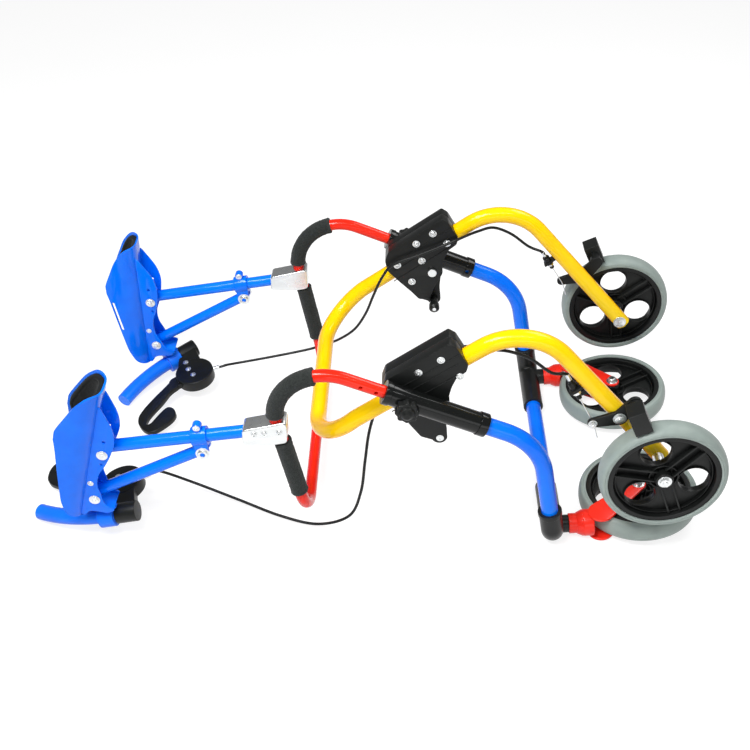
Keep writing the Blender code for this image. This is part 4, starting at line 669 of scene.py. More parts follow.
def upright(outline_y, side):
    """The matrix of a plate that lies in an XZ plane at this distance from the middle."""
    return Matrix(((1, 0, 0, 0), (0, 0, -1, side * outline_y), (0, 1, 0, 0), (0, 0, 0, 1)))


def round_ended(name, start, end, radius):
    """A rod with a domed far end."""
    length = (end - start).length
    dome = arc((0.0, length), radius, 0, 90, 10)[:-1]
    profile = [(0.0, 0.0), (radius, 0.0), *dome, (0.0, length + radius)]
    return turned(name, profile, facing(end - start, start), TUBE_SIDES)


def merged(name, shells, material, crease=math.radians(35)):
    """One piece from the shells, in the object's own frame, with smooth round sides."""
    shape = bmesh.new()
    for part in shells:
        shape.from_mesh(part.data)
        bpy.data.objects.remove(part)
    shape.transform(Matrix.Translation(SHIFT))
    mesh = bpy.data.meshes.new(name)
    shape.to_mesh(mesh)
    shape.free()
    mesh.materials.append(material)
    mesh.shade_smooth()
    mesh.set_sharp_from_angle(angle=crease)
    obj = bpy.data.objects.new(name, mesh)
    SCENE.collection.objects.link(obj)
    return obj


def dress(node, shells, finish):
    """Stands the shells in for a CAD node; its fasteners become a steel piece beside it."""
    material, slot_name = finish
    body = BODY_OF[node]
    parts = join(shells)
    fasteners = [part for part in parts if part.name.startswith(FASTENERS)]
    plain = [part for part in parts if not part.name.startswith(FASTENERS)]
    piece = merged(node + "_look", plain, material)
    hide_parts(node)
    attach(piece, body)
    if fasteners:
        steel = merged(node + "_fasteners", fasteners, STEEL[0])
        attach(steel, body)
    return piece


def extra(name, shells, finish, body):
    """A detail of its own that rides on a body."""
    piece = merged(name, join(shells), finish[0])
    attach(piece, body)
    return piece


def arc(centre, radius, start, end, steps):
    """Points of an arc in a plane, with its angles in degrees."""
    points = []
    for i in range(steps + 1):
        angle = math.radians(start + (end - start) * i / steps)
        points.append((centre[0] + radius * math.cos(angle), centre[1] + radius * math.sin(angle)))
    return points


def link_outline(first, first_radius, second, second_radius, steps=20):
    """The outline of two round ends and the straight sides that touch both."""
    along = Vector(second) - Vector(first)
    heading = math.degrees(math.atan2(along.y, along.x))
    lean = math.degrees(math.acos((first_radius - second_radius) / along.length))
    return arc(
        first, first_radius, heading + lean, heading + 360 - lean, 2 * steps,
    ) + arc(second, second_radius, heading - lean, heading + lean, steps)


def rounded(points, radii):
    """A line of points whose inner corners are bends of these radii."""
    line = [points[0]]
    for before, corner, after, radius in zip(points, points[1:], points[2:], radii):
        back = (before - corner).normalized()
        ahead = (after - corner).normalized()
        turn = math.pi - back.angle(ahead)
        start = corner + back * radius * math.tan(turn / 2)
        centre = corner + (back + ahead).normalized() * radius / math.cos(turn / 2)
        spoke = start - centre
        axis = spoke.cross(-back)
        steps = max(2, math.ceil(turn / BEND_STEP))
        for i in range(steps + 1):
            line.append(centre + Quaternion(axis, turn * i / steps) @ spoke)
    line.append(points[-1])
    return line


def stretch(line, start, end):
    """The part of a line of points between two distances along it."""
    part = []
    walked = 0.0
    for a, b in zip(line, line[1:]):
        length = (b - a).length
        if start < walked < end:
            part.append(a)
        if walked <= start < walked + length:
            part.append(a.lerp(b, (start - walked) / length))
        if walked < end <= walked + length:
            part.append(a.lerp(b, (end - walked) / length))
        walked += length
    return part


def across(side, distance, x, z):
    """A point at this distance from the middle, on one side."""
    return Vector((x, side * distance, z))


def facing_out(side):
    """The direction straight away from the middle, on one side."""
    return Vector((0, side, 0))


def sleeve_along(side, distance, off_centre=SLEEVE_Y):
    """A point on the sleeve's axis, at a distance from its upper end."""
    x = SLEEVE_START_X + distance * math.cos(SLEEVE_SLOPE)
    z = SLEEVE_START_Z - distance * math.sin(SLEEVE_SLOPE)
    return across(side, off_centre, x, z)


def rear_line_height(x):
    """The height of the straight stretch of the rear frame that the brackets hold."""
    return REAR_APEX_Z - (REAR_APEX_X - x) * math.tan(REAR_SLOPE)


def plunger_place():
    """Where the fold lock's plunger stands, so that it meets the sleeve when unfolded."""
    angle = -SLEEVE_SLOPE - FOLD_ANGLE
    pivot = sleeve_along(1, PIVOT_ALONG)
    reach = PLUNGER_RADIUS_FROM_PIVOT
    return pivot.x + reach * math.cos(angle), pivot.z + reach * math.sin(angle)


def leg_line(side):
    """The front leg's bent axis from the sleeve to the elbow, and the way up its lower end."""
    corner_drop = (LEG_CORNER_X - SLEEVE_START_X) * math.tan(SLEEVE_SLOPE)
    corner = across(side, SLEEVE_Y, LEG_CORNER_X, SLEEVE_START_Z - corner_drop)
    elbow = across(side, SLEEVE_Y, CROSS_X, CROSS_Z)
    up = (corner - elbow).normalized()
    foot = elbow + up * LEG_END_HEIGHT
    top = sleeve_along(side, SLEEVE_LENGTH - LEG_INSERTION)
    return rounded([top, corner, foot], [LEG_BEND_RADIUS]), up


def make_sleeve(name, side):
    """The sleeve with its end collars, knob boss and the pin that the rear frame folds on."""

    def at(along, off_centre=SLEEVE_Y):
        return sleeve_along(side, along, off_centre)

    start = at(0)
    end = at(SLEEVE_LENGTH)
    lip = (end - start) * COLLAR_LIP
    knob_face = SLEEVE_Y + SLEEVE_RADIUS + KNOB_BOSS_HEIGHT
    pin_tip = BRACKET_INNER_Y - PIVOT_PIN_PROUD
    pin_root = SLEEVE_Y - 0.008
    lock_along = PIVOT_ALONG + PLUNGER_RADIUS_FROM_PIVOT
    lock_end = SLEEVE_Y - COLLAR_RADIUS - 0.002
    leg_top = SLEEVE_LENGTH - LEG_INSERTION - 0.001
    solids = [
        rod(name, start, end, SLEEVE_RADIUS),
        rod("near_collar", start - lip, at(COLLAR_START_LENGTH), COLLAR_RADIUS),
        rod("far_collar", at(SLEEVE_LENGTH - COLLAR_END_LENGTH), end + lip, COLLAR_RADIUS),
        rod("knob_boss", at(KNOB_ALONG, SLEEVE_Y + 0.008), at(KNOB_ALONG, knob_face), KNOB_BOSS_RADIUS),
        rod("pivot_pin", at(PIVOT_ALONG, pin_root), at(PIVOT_ALONG, pin_tip), PIVOT_PIN, PIN_SIDES),
        rod(
            "pivot_head", at(PIVOT_ALONG, BRACKET_INNER_Y - SEAT_GAP), at(PIVOT_ALONG, pin_tip - SUNK),
            PIVOT_HEAD, PIN_SIDES,
        ),
    ]
    return cut(
        solids,
        rod("bar_bore", at(-PAST), at(leg_top + 0.004), cleared(BAR_TUBE)),
        rod("leg_bore", at(leg_top), at(SLEEVE_LENGTH + PAST), cleared(FRAME_TUBE)),
        rod(
            "knob_hole", at(KNOB_ALONG, SLEEVE_Y + 0.006), at(KNOB_ALONG, knob_face + SUNK),
            cleared(KNOB_STUD), PIN_SIDES,
        ),
        rod(
            "lock_hole", at(lock_along, pin_root), at(lock_along, lock_end), cleared(PLUNGER_PIN),
            PIN_SIDES,
        ),
    )


def make_knob(name, side):
    """A fluted clamping knob with a domed cap and its stud."""
    face = SLEEVE_Y + SLEEVE_RADIUS + KNOB_BOSS_HEIGHT + SEAT_GAP
    outline = []
    for i in range(16 * KNOB_FLUTES):
        angle = math.tau * i / (16 * KNOB_FLUTES)
        radius = KNOB_RADIUS + KNOB_FLUTE * math.cos(KNOB_FLUTES * angle)
        outline.append((radius * math.cos(angle), radius * math.sin(angle)))
    out = facing_out(side)
    start = sleeve_along(side, KNOB_ALONG, face)
    top = start + out * KNOB_THICKNESS
    grip = slab(name, outline, KNOB_THICKNESS, facing(out, (start + top) / 2), 0.0016)
    rim = top + out * KNOB_DOME_HEIGHT * 0.55
    crown = top + out * KNOB_DOME_HEIGHT
    return join(
        grip,
        rod("dome", top - out * SUNK, rim, KNOB_DOME_RADIUS + 0.002, PIN_SIDES, KNOB_DOME_RADIUS),
        rod("cap", rim - out * 0.001, crown, KNOB_DOME_RADIUS, PIN_SIDES, KNOB_DOME_RADIUS * 0.45),
        rod(
            "stud", start + out * SUNK,
            sleeve_along(side, KNOB_ALONG, SLEEVE_Y + BAR_TUBE + 0.0012),
            KNOB_STUD, PIN_SIDES,
        ),
    )


def stem_direction():
    """The way that the caster's stem points, out of the elbow."""
    return Vector((math.cos(STEM_RISE), 0, math.sin(STEM_RISE)))


def stem_origin(side):
    return across(side, STEM_Y, CROSS_X, CROSS_Z)


def make_elbow(name, side):
    """A moulded corner that holds the leg, the cross tube and the caster's stem."""
    _, up = leg_line(side)
    centre = across(side, SLEEVE_Y, CROSS_X, CROSS_Z)
    mouth = across(side, ELBOW_REACH_Y, CROSS_X, CROSS_Z)
    top = centre + up * ELBOW_HEIGHT
    stem = stem_direction()
    origin = stem_origin(side)
    body = join(
        pipe(name, rounded([top, centre, mouth], [ELBOW_BEND]), ELBOW_RADIUS),
        rod("rim", top - up * ELBOW_RIM_LENGTH, top + up * 0.0004, ELBOW_RIM_RADIUS, PIN_SIDES),
        rod("stub", origin, origin + stem * STUB_LENGTH, STUB_RADIUS, PIN_SIDES),
    )
    inward = facing_out(-side)
    foot = Matrix.Translation(across(side, SLEEVE_Y, CROSS_X, FOOT_Z - 0.01))
    return cut(
        body, brick("foot_room", (0.08, 0.4, 0.02), foot),
        rod(
            "leg_socket", centre + up * (LEG_END_HEIGHT - SEAT_GAP), top + up * PAST, cleared(FRAME_TUBE),
        ),
        rod(
            "cross_bore",
            across(side, CROSS_END_Y + SEAT_GAP, CROSS_X, CROSS_Z),
            mouth + inward * PAST, cleared(FRAME_TUBE),
        ),
        rod(
            "stem_bore", origin - stem * (STEM_ROOT + SEAT_GAP), origin + stem * (STUB_LENGTH + PAST),
            cleared(STEM_RADIUS), PIN_SIDES,
        ),
    )


def bar_line():
    """The handlebar from inside the left sleeve round to inside the right one."""
    drop = (SLEEVE_START_X - BAR_TOP_X) * math.tan(SLEEVE_SLOPE)
    halves = {}
    for side in (-1, 1):
        halves[side] = [
            sleeve_along(side, BAR_INSERTION),
            across(side, SLEEVE_Y, BAR_TOP_X, SLEEVE_START_Z + drop),
            across(side, BAR_LOW_Y, BAR_LOW_X, BAR_LOW_Z),
        ]
    corners = halves[-1] + halves[1][::-1]
    return rounded(corners, [BAR_TOP_BEND, BAR_LOW_BEND, BAR_LOW_BEND, BAR_TOP_BEND])


def run_stretch(side):
    """The stretch of the handlebar that its arm clamp holds."""
    line = bar_line()
    if side > 0:
        line = line[::-1]
    return stretch(line, BAR_INSERTION + BEND_FOAM[1] + 0.001, BAR_INSERTION + RUN_FOAM[0] + 0.020)


def rear_straight(side, along_x):
    return across(side, REAR_Y, along_x, rear_line_height(along_x))


def bracket_outline(with_lock):
    """The bracket seen from the side; the outer half also carries the fold lock."""
    upper = [
        (0.007, 0.262), (-0.014, 0.284), (-0.0185, 0.304), (-0.013, 0.322), (0.081, 0.391),
        (0.0925, 0.384), (0.1115, 0.352), (0.109, 0.340), (0.095, 0.328), (0.0885, 0.311),
    ]
    pivot = sleeve_along(1, PIVOT_ALONG)
    lobe = arc((pivot.x, pivot.z), BRACKET_LOBE_RADIUS, 25, -20, 12)
    lock_x, lock_z = plunger_place()
    if with_lock:
        low = arc((lock_x, lock_z), PLUNGER_LOBE_RADIUS, 20, -150, 28)
        return eased(upper + lobe + [(0.083, 0.240)] + low + [(0.044, 0.212), (0.026, 0.236)], 0.003, True)
    return eased(
        upper + lobe + [(0.070, 0.246), (0.065, 0.224), (0.045, 0.224), (0.030, 0.240)],
        0.003, True,
    )


def bracket_cuts(side):
    """What both bracket halves leave room for: the rear tube and the pivot pin."""
    pivot_ends = [sleeve_along(side, PIVOT_ALONG, y) for y in (0.160, 0.220)]
    return [
        rod("tube_groove", rear_straight(side, -0.045), rear_straight(side, 0.127), cleared(FRAME_TUBE)),
        rod("pivot_hole", *pivot_ends, cleared(PIVOT_PIN), PIN_SIDES),
    ]


def bracket_ribs(side, face_y, outward):
    """Long ribs over the tube on one face, and two more along the bracket's upper edge."""
    ribs = []
    length = (rear_straight(side, 1) - rear_straight(side, 0)).length * 0.098
    turn = Matrix.Rotation(-REAR_SLOPE, 4, "Y")
    for offset in (-0.0085, 0.0085, 0.022):
        centre = rear_straight(side, 0.047) + Vector((0, 0, offset / math.cos(REAR_SLOPE)))
        centre.y = side * (face_y + outward * 0.0001)
        ribs.append(brick("rib", (length, 0.0018, 0.0012), Matrix.Translation(centre) @ turn))
    for inset in (0.004, 0.0085):
        centre = rear_straight(side, 0.039) + Vector((0, 0, BRACKET_TOP_RISE / math.cos(REAR_SLOPE)))
        centre.y = side * (face_y - outward * inset)
        ribs.append(brick("rib", (length * 0.86, 0.0012, 0.0014), Matrix.Translation(centre) @ turn))
    return ribs


def make_outer_bracket(name, side):
    """The outer half, with the fold lock's barrel, its bolt heads and its ribs."""
    inner_y = REAR_Y + SEAT_GAP / 2
    half = slab(
        name, bracket_outline(True), BRACKET_OUTER_Y - inner_y,
        upright((BRACKET_OUTER_Y + inner_y) / 2, side),
        0.0009,
    )
    lock_x, lock_z = plunger_place()
    barrel = rod(
        "barrel",
        across(side, PLUNGER_BARREL_Y, lock_x, lock_z),
        across(side, inner_y + 0.004, lock_x, lock_z),
        PLUNGER_BARREL, PIN_SIDES,
    )
    bore = rod(
        "plunger_bore",
        across(side, PLUNGER_BARREL_Y - PAST, lock_x, lock_z),
        across(side, BRACKET_OUTER_Y + PAST, lock_x, lock_z),
        cleared(PLUNGER_PIN), PIN_SIDES,
    )
    extras = bracket_ribs(side, BRACKET_OUTER_Y, 1)
    for x, z in ((0.070, 0.362), (0.037, 0.338), (0.100, 0.332), (lock_x + 0.001, lock_z - 0.002)):
        face = across(side, BRACKET_OUTER_Y, x, z)
        extras += screw_head(face, facing_out(side), BRACKET_BOLT * 0.9, 0.0012)
    return [*cut(join(half, barrel), bore, *bracket_cuts(side)), *extras]


def make_inner_bracket(name, side):
    """The inner half, with its bolt heads and the two long ribs over the tube."""
    outer_y = REAR_Y - SEAT_GAP / 2
    half = slab(
        name, bracket_outline(False), outer_y - BRACKET_INNER_Y,
        upright((outer_y + BRACKET_INNER_Y) / 2, side),
        0.0009,
    )
    extras = []
    bolts = ((0.066, 0.362), (0.037, 0.341), (0.004, 0.296), (0.048, 0.306), (0.092, 0.343), (0.031, 0.262))
    for x, z in bolts:
        face = across(side, BRACKET_INNER_Y, x, z)
        extras += screw_head(face, facing_out(-side), BRACKET_BOLT, BRACKET_BOLT_HEIGHT)
    extras += bracket_ribs(side, BRACKET_INNER_Y, -1)
    return [*cut(half, *bracket_cuts(side)), *extras]


def make_plunger(name, side):
    """The fold lock's pin with its pull knob."""
    x, z = plunger_place()
    neck_y = PLUNGER_BARREL_Y - SEAT_GAP
    tip_y = PLUNGER_KNOB_Y
    stack = [
        (name, BRACKET_OUTER_Y - 0.0002, neck_y - SUNK, PLUNGER_PIN, PIN_SIDES, None),
        ("neck", neck_y, neck_y - 0.005, PLUNGER_KNOB * 0.55, PIN_SIDES, PLUNGER_KNOB * 0.9),
        ("knob", neck_y - 0.0045, tip_y + 0.004, PLUNGER_KNOB, PIN_SIDES, None),
        ("knob_tip", tip_y + 0.005, tip_y, PLUNGER_KNOB, PIN_SIDES, PLUNGER_KNOB * 0.5),
        ("steel_centre", tip_y + 0.001, tip_y - 0.0004, PLUNGER_KNOB * 0.36, TUBE_SIDES, None),
    ]
    return [
        rod(part, across(side, start, x, z), across(side, end, x, z), radius, sides, end_radius)
        for part, start, end, radius, sides, end_radius in stack
    ]


def wheel_frame(centre, axis, spin):
    """A wheel's matrix: +Z along its axle, turned by spin degrees about it."""
    return facing(axis, centre) @ Matrix.Rotation(math.radians(spin), 4, "Z")


def make_rear_axle(name, side):
    """The bolt through the tube's end, with its spacer and nut."""
    head_y = REAR_Y - FRAME_TUBE - SEAT_GAP
    hub_in = REAR_WHEEL_Y - HUB_HALF - SEAT_GAP
    hub_out = REAR_WHEEL_Y + HUB_HALF + SEAT_GAP
    nut_y = hub_out + AXLE_NUT_HEIGHT

    def at(y):
        return across(side, y, REAR_WHEEL_X, REAR_WHEEL_Z)

    return join(
        rod(name, at(head_y - SUNK), at(nut_y - 0.001), AXLE, PIN_SIDES),
        hex_bolt(at(head_y), facing_out(-side), AXLE_HEAD, AXLE_HEAD_HEIGHT),
        rod("spacer", at(REAR_Y + FRAME_TUBE + SEAT_GAP), at(hub_in), AXLE_HEAD, PIN_SIDES),
        hex_bolt(at(hub_out), facing_out(side), AXLE_NUT, AXLE_NUT_HEIGHT - 0.001),
    )


def leg_to_axle():
    """The direction of the rear frame's leg, from its axle up to the bend."""
    return Vector((REAR_APEX_X - REAR_WHEEL_X, 0, REAR_APEX_Z - REAR_WHEEL_Z)).normalized()


def brake_pivot(side, off_centre=0.0):
    place = across(side, off_centre, REAR_WHEEL_X, REAR_WHEEL_Z)
    return place + leg_to_axle() * BRAKE_PIVOT_FROM_AXLE


def make_brake(name, side):
    """A flat arm on the rear frame's outer face, with the shoe over the tread."""
    pivot = brake_pivot(side)
    radial = Vector((math.cos(BRAKE_SHOE_ANGLE), 0, math.sin(BRAKE_SHOE_ANGLE)))
    inner = WHEEL_RADIUS + BRAKE_SHOE_GAP
    wheel = across(side, REAR_WHEEL_Y, REAR_WHEEL_X, REAR_WHEEL_Z)
    shoe_centre = wheel + radial * (inner + BRAKE_SHOE_LENGTH / 2)
    turn = Matrix.Rotation(math.pi / 2 - BRAKE_SHOE_ANGLE, 4, "Y")
    shoe_size = (BRAKE_SHOE_WIDTH, 2 * BRAKE_SHOE_HALF_WIDTH, BRAKE_SHOE_LENGTH)
    shoe = brick("shoe", shoe_size, Matrix.Translation(shoe_centre) @ turn)
    hollow = rod(
        "tread",
        across(side, REAR_WHEEL_Y - 0.03, REAR_WHEEL_X, REAR_WHEEL_Z),
        across(side, REAR_WHEEL_Y + 0.03, REAR_WHEEL_X, REAR_WHEEL_Z),
        inner + 0.0004, FINE_SIDES,
    )
    arm_y = BRAKE_ARM_Y + BRAKE_ARM_THICKNESS / 2
    here = (pivot.x, pivot.z)
    clamp = (pivot.x + BRAKE_CLAMP[0], pivot.z + BRAKE_CLAMP[1])
    carrier = (shoe_centre.x, shoe_centre.z)
    plate = upright(arm_y, side)
    thickness = BRAKE_ARM_THICKNESS
    wire_end = across(side, arm_y, *clamp)
    outward = facing_out(side)
    return cut(
        join(
            slab(name, link_outline(here, BRAKE_BOSS, clamp, BRAKE_CLAMP_END), thickness, plate),
            slab(
                "carrier",
                link_outline(here, BRAKE_BOSS - 0.0005, carrier, BRAKE_CARRIER_END),
                thickness * 0.98, plate,
            ),
            rod(
                "shoe_post", across(side, arm_y, *carrier), across(side, REAR_WHEEL_Y, *carrier),
                BRAKE_POST, PIN_SIDES,
            ),
            shoe,
            hex_bolt(across(side, arm_y + thickness / 2, *here), outward, 0.008, 0.0042),
            hex_bolt(wire_end + outward * thickness / 2, outward, 0.0055, 0.0045),
        ),
        hollow,
    )


def stop_barrel(side):
    """The two ends of the cable stop's adjuster, upper first."""
    axle = across(side, REAR_Y, REAR_WHEEL_X, REAR_WHEEL_Z)
    leg = leg_to_axle()
    inside = Vector((-leg.z, 0, leg.x))
    if inside.x > 0:
        inside = -inside
    middle = axle + leg * STOP_FROM_AXLE + inside * STOP_OFFSET
    aim = brake_pivot(side, BRAKE_ARM_Y) + Vector((BRAKE_CLAMP[0], 0, BRAKE_CLAMP[1]))
    heading = (aim - middle).normalized()
    half = heading * STOP_BARREL_LENGTH / 2
    return middle - half, middle + half


def make_cable_stop(name, side):
    """A plate on the rear frame that carries the cable's adjuster."""
    upper, lower = stop_barrel(side)
    middle = (upper + lower) / 2
    leg = leg_to_axle()
    seat = across(side, REAR_Y, REAR_WHEEL_X, REAR_WHEEL_Z) + leg * STOP_FROM_AXLE
    reach = (middle - seat).length
    out = (middle - seat).normalized()
    plate_in = seat + out * (FRAME_TUBE - SUNK)
    plate_out = seat + out * (reach + 0.009)
    centre = (plate_in + plate_out) / 2
    spin = Matrix((out, Vector((0, 1, 0)), out.cross(Vector((0, 1, 0))))).transposed().to_4x4()
    size = ((plate_out - plate_in).length, STOP_PLATE_WIDTH, STOP_PLATE_THICKNESS)
    heading = (lower - upper).normalized()
    tube = rod("tube_seat", seat - leg * 0.03, seat + leg * 0.03, cleared(FRAME_TUBE))
    bore = rod("bore", upper - heading * PAST, lower + heading * PAST, WIRE_BORE, PIN_SIDES)
    return cut(
        join(
            brick(name, size, Matrix.Translation(centre) @ spin),
            rod("barrel", upper, lower, STOP_BARREL, PIN_SIDES),
            rod("adjuster", upper + heading * 0.004, upper + heading * 0.013, STOP_BARREL * 1.5, PIN_SIDES),
        ),
        tube,
        bore,
    )


def caster_frame(side):
    """The caster's axes: X along the stem, Y along the trail, Z along the axle."""
    stem = stem_direction()
    trail = facing_out(-side)
    axle = stem.cross(trail)
    turn = Matrix((stem, trail, axle)).transposed().to_4x4()
    return Matrix.Translation(stem_origin(side)) @ turn


def make_fork(name, side):
    """A moulded fork: stem, collar, crown and the two arms beside the wheel."""
    frame = caster_frame(side)

    def at(x, y=0.0, z=0.0):
        return frame @ Vector((x, y, z))

    collar_start = STUB_LENGTH + SEAT_GAP
    crown_start = collar_start + FORK_COLLAR_LENGTH
    wheel = (CASTER_REACH, CASTER_TRAIL)
    root = (FORK_ARM_ROOT_AT, 0.0)
    outline = link_outline(root, FORK_ARM_ROOT_RADIUS, wheel, FORK_ARM_END_RADIUS)
    shapes = [
        rod("collar", at(collar_start), at(crown_start + SUNK), FORK_COLLAR_RADIUS),
        rod(
            "dome", at(crown_start), at(crown_start + 0.010), FORK_COLLAR_RADIUS + 0.001, TUBE_SIDES,
            FORK_CROWN_RADIUS,
        ),
        rod("crown", at(crown_start + 0.0095), at(FORK_CROWN_END), FORK_CROWN_RADIUS, ease=0.003),
    ]
    middle = (FORK_ARM_INNER + FORK_ARM_OUTER) / 2
    for height in (-middle, middle):
        place = frame @ Matrix.Translation((0, 0, height))
        shapes.append(slab("arm", outline, FORK_ARM_OUTER - FORK_ARM_INNER, place, 0.0013))
    clearance = WHEEL_RADIUS + FORK_WHEEL_CLEARANCE
    cutters = [
        rod("wheel_room", at(*wheel, -FORK_ARM_INNER), at(*wheel, FORK_ARM_INNER), clearance),
        rod("axle_hole", at(*wheel, -0.04), at(*wheel, 0.04), cleared(AXLE), PIN_SIDES),
    ]
    stem = rod(name, at(-STEM_ROOT), at(crown_start + 0.003), STEM_RADIUS, PIN_SIDES)
    return cut(join(stem, *shapes), *cutters)


def make_caster_axle(name, side):
    """The bolt through the fork's arms, with a domed head on each."""
    frame = caster_frame(side)

    def at(height):
        return frame @ Vector((CASTER_REACH, CASTER_TRAIL, height))

    seat = FORK_ARM_OUTER + SEAT_GAP
    return join(
        rod(name, at(-CASTER_AXLE_HALF + 0.001), at(CASTER_AXLE_HALF - 0.001), AXLE, PIN_SIDES),
        screw_head(at(seat), frame.to_3x3().col[2], CASTER_AXLE_HEAD, CASTER_AXLE_HALF - seat - 0.001),
        screw_head(at(-seat), -frame.to_3x3().col[2], CASTER_AXLE_HEAD, CASTER_AXLE_HALF - seat - 0.001),
    )


def post_direction(side):
    """The way that the arm post runs, out of its clamp."""
    drop = math.radians(SUPPORTS[side]["drop"])
    return Vector((-math.cos(drop), 0, -math.sin(drop)))


def post_mouth(side):
    return across(side, SUPPORT_Y, POST_MOUTH_X, POST_MOUTH_Z)


def post_end(side):
    return post_mouth(side) + post_direction(side) * SUPPORTS[side]["reach"]


def trough_frame(side):
    """The trough's axes: X down the forearm to the hand, Y to the open side, Z across."""
    lean = math.radians(SUPPORTS[side]["lean"])
    down = Vector((-math.sin(lean), 0, -math.cos(lean)))
    opening = Vector((-math.cos(lean), 0, math.sin(lean)))
    turn = Matrix((down, opening, down.cross(opening))).transposed().to_4x4()
    return Matrix.Translation(post_end(side)) @ turn


def slider_pivot(side):
    """Where the slider must stand on the post for the strut to reach the trough."""
    along = post_direction(side)
    below = Vector((along.z, 0, -along.x)) * SLIDER_DROP
    if below.z > 0:
        below = -below
    target = trough_frame(side) @ Vector((TROUGH_BOLTS, 0, 0))
    start = post_mouth(side) + below
    to_target = target - start
    ahead = to_target.dot(along)
    off = (to_target - along * ahead).length
    travel = ahead - math.sqrt(STRUT_LENGTH**2 - off**2)
    return start + along * travel, below


def make_arm_clamp(name, side):
    """A two-way clamp from the handlebar's run to the arm support's post."""
    outline = [
        (-0.2335, 0.2140), (-0.1890, 0.2140), (-0.1640, 0.2190), (-0.1640, 0.2560), (-0.1700, 0.2590),
        (-0.1935, 0.2525), (-0.2335, 0.2430),
    ]
    thickness = CLAMP_OUTER_Y - CLAMP_INNER_Y
    plate = upright((CLAMP_OUTER_Y + CLAMP_INNER_Y) / 2, side)
    block = slab(name, eased(outline, 0.006, True), thickness, plate, 0.0022)
    screws = []
    for x, z in ((-0.2143, 0.2360), (-0.1987, 0.2383), (-0.1754, 0.2407)):
        face = across(side, CLAMP_OUTER_Y, x, z)
        screws += screw_head(face, facing_out(side), CLAMP_SCREW, CLAMP_SCREW_HEIGHT)
    along = post_direction(side)
    mouth = post_mouth(side)
    root = mouth - along * (POST_ROOT_X - POST_MOUTH_X + SEAT_GAP)
    return cut(
        join(block, *screws),
        pipe("run_bore", run_stretch(side), cleared(BAR_TUBE)),
        rod("post_bore", root, mouth + along * 0.01, cleared(POST_TUBE)),
    )


def hollow_bar(name, start, end, radius, hollow, pin_at, pin):
    """A tube with a domed far end, hollow between two points, with a pin hole across it."""
    sideways = Vector((0, 0.02, 0))
    return cut(
        round_ended(name, start, end, radius), rod("hollow", *hollow, PIN_SIDES),
        rod("pin_hole", pin_at - sideways, pin_at + sideways, cleared(pin), PIN_SIDES),
    )


def make_post(name, side):
    """The hollow post with a domed end and the hole for the trough's pin."""
    along = post_direction(side)
    root = post_mouth(side) - along * (POST_ROOT_X - POST_MOUTH_X)
    end = post_end(side)
    hollow = (root - along * SUNK, end - along * 0.030, POST_BORE)
    return hollow_bar(name, root, end, POST_TUBE, hollow, end, TROUGH_PIN)


def make_slider(name, side):
    """The collar on the post, with its clamp ear above and the strut's cheeks below."""
    along = post_direction(side)
    pivot, below = slider_pivot(side)
    centre = pivot - below
    up = -below.normalized()
    ear = centre + up * SLIDER_EAR_RISE
    sideways = facing_out(side)
    cheek_in = STRUT_TUBE + STRUT_SIDE_GAP
    cheek_out = cheek_in + SLIDER_CHEEK
    cheek_start = centre - up * 0.008
    shapes = [
        rod(
            "ear", ear - sideways * SLIDER_EAR_HALF, ear + sideways * SLIDER_EAR_HALF, SLIDER_EAR_RADIUS,
            PIN_SIDES,
        ),
        brick(
            "ear_root", (0.012, 2 * SLIDER_EAR_HALF * 0.96, 0.016),
            Matrix.Translation(centre + up * 0.0145) @ Matrix.Rotation(along.z, 4, "Y"),
        ),
        *hex_bolt(ear + sideways * SLIDER_EAR_HALF, sideways, 0.0045, 0.0028),
        *hex_bolt(ear - sideways * SLIDER_EAR_HALF, -sideways, 0.0045, 0.0028),
    ]
    outline = link_outline((cheek_start.x, cheek_start.z), 0.0115, (pivot.x, pivot.z), 0.009)
    for offset in (-1, 1):
        y = SUPPORT_Y + offset * (cheek_in + cheek_out) / 2
        shapes.append(slab("cheek", outline, SLIDER_CHEEK, upright(y, side)))
    head_out = cheek_out + 0.004
    shapes.append(
        rod("strut_pin", pivot - sideways * head_out, pivot + sideways * head_out, STRUT_PIN, PIN_SIDES),
    )
    for direction in (-1, 1):
        reach = sideways * direction
        shapes += screw_head(pivot + reach * cheek_out, reach, STRUT_HEAD, 0.0038)
    ring = rod(name, centre - along * SLIDER_HALF, centre + along * SLIDER_HALF, SLIDER_RADIUS)
    bore = rod("post_bore", centre - along * 0.03, centre + along * 0.03, cleared(POST_TUBE))
    return cut(join(ring, *shapes), bore)


def make_strut(name, side):
    """The strut from the slider to the trough's lower bolt."""
    pivot, _ = slider_pivot(side)
    target = trough_frame(side) @ Vector((TROUGH_BOLTS, 0, 0))
    along = (target - pivot).normalized()
    hollow = (pivot - along * 0.01, target - along * 0.02, STRUT_BORE)
    return hollow_bar(name, pivot - along * STRUT_OVERRUN, target, STRUT_TUBE, hollow, pivot, STRUT_PIN)


def grip_frame(side):
    """The hand grip's axes: X along the grip, Y to the lever's side, Z down the swivel."""
    settings = SUPPORTS[side]
    trough = trough_frame(side)
    turn = trough.to_3x3()
    down = turn.col[0]
    opening = turn.col[1]
    inward = facing_out(-side)
    swing = math.radians(settings["swing"])
    dip = math.radians(settings["dip"])
    level = opening * math.cos(swing) + inward * math.sin(swing)
    along = level * math.cos(dip) + down * math.sin(dip)
    lever_side = inward * math.cos(swing) - opening * math.sin(swing)
    up = along.cross(lever_side)
    axes = Matrix((along, lever_side, up)).transposed().to_4x4()
    place = trough @ Vector((GRIP_ALONG, GRIP_OPEN, 0))
    return Matrix.Translation(place) @ axes


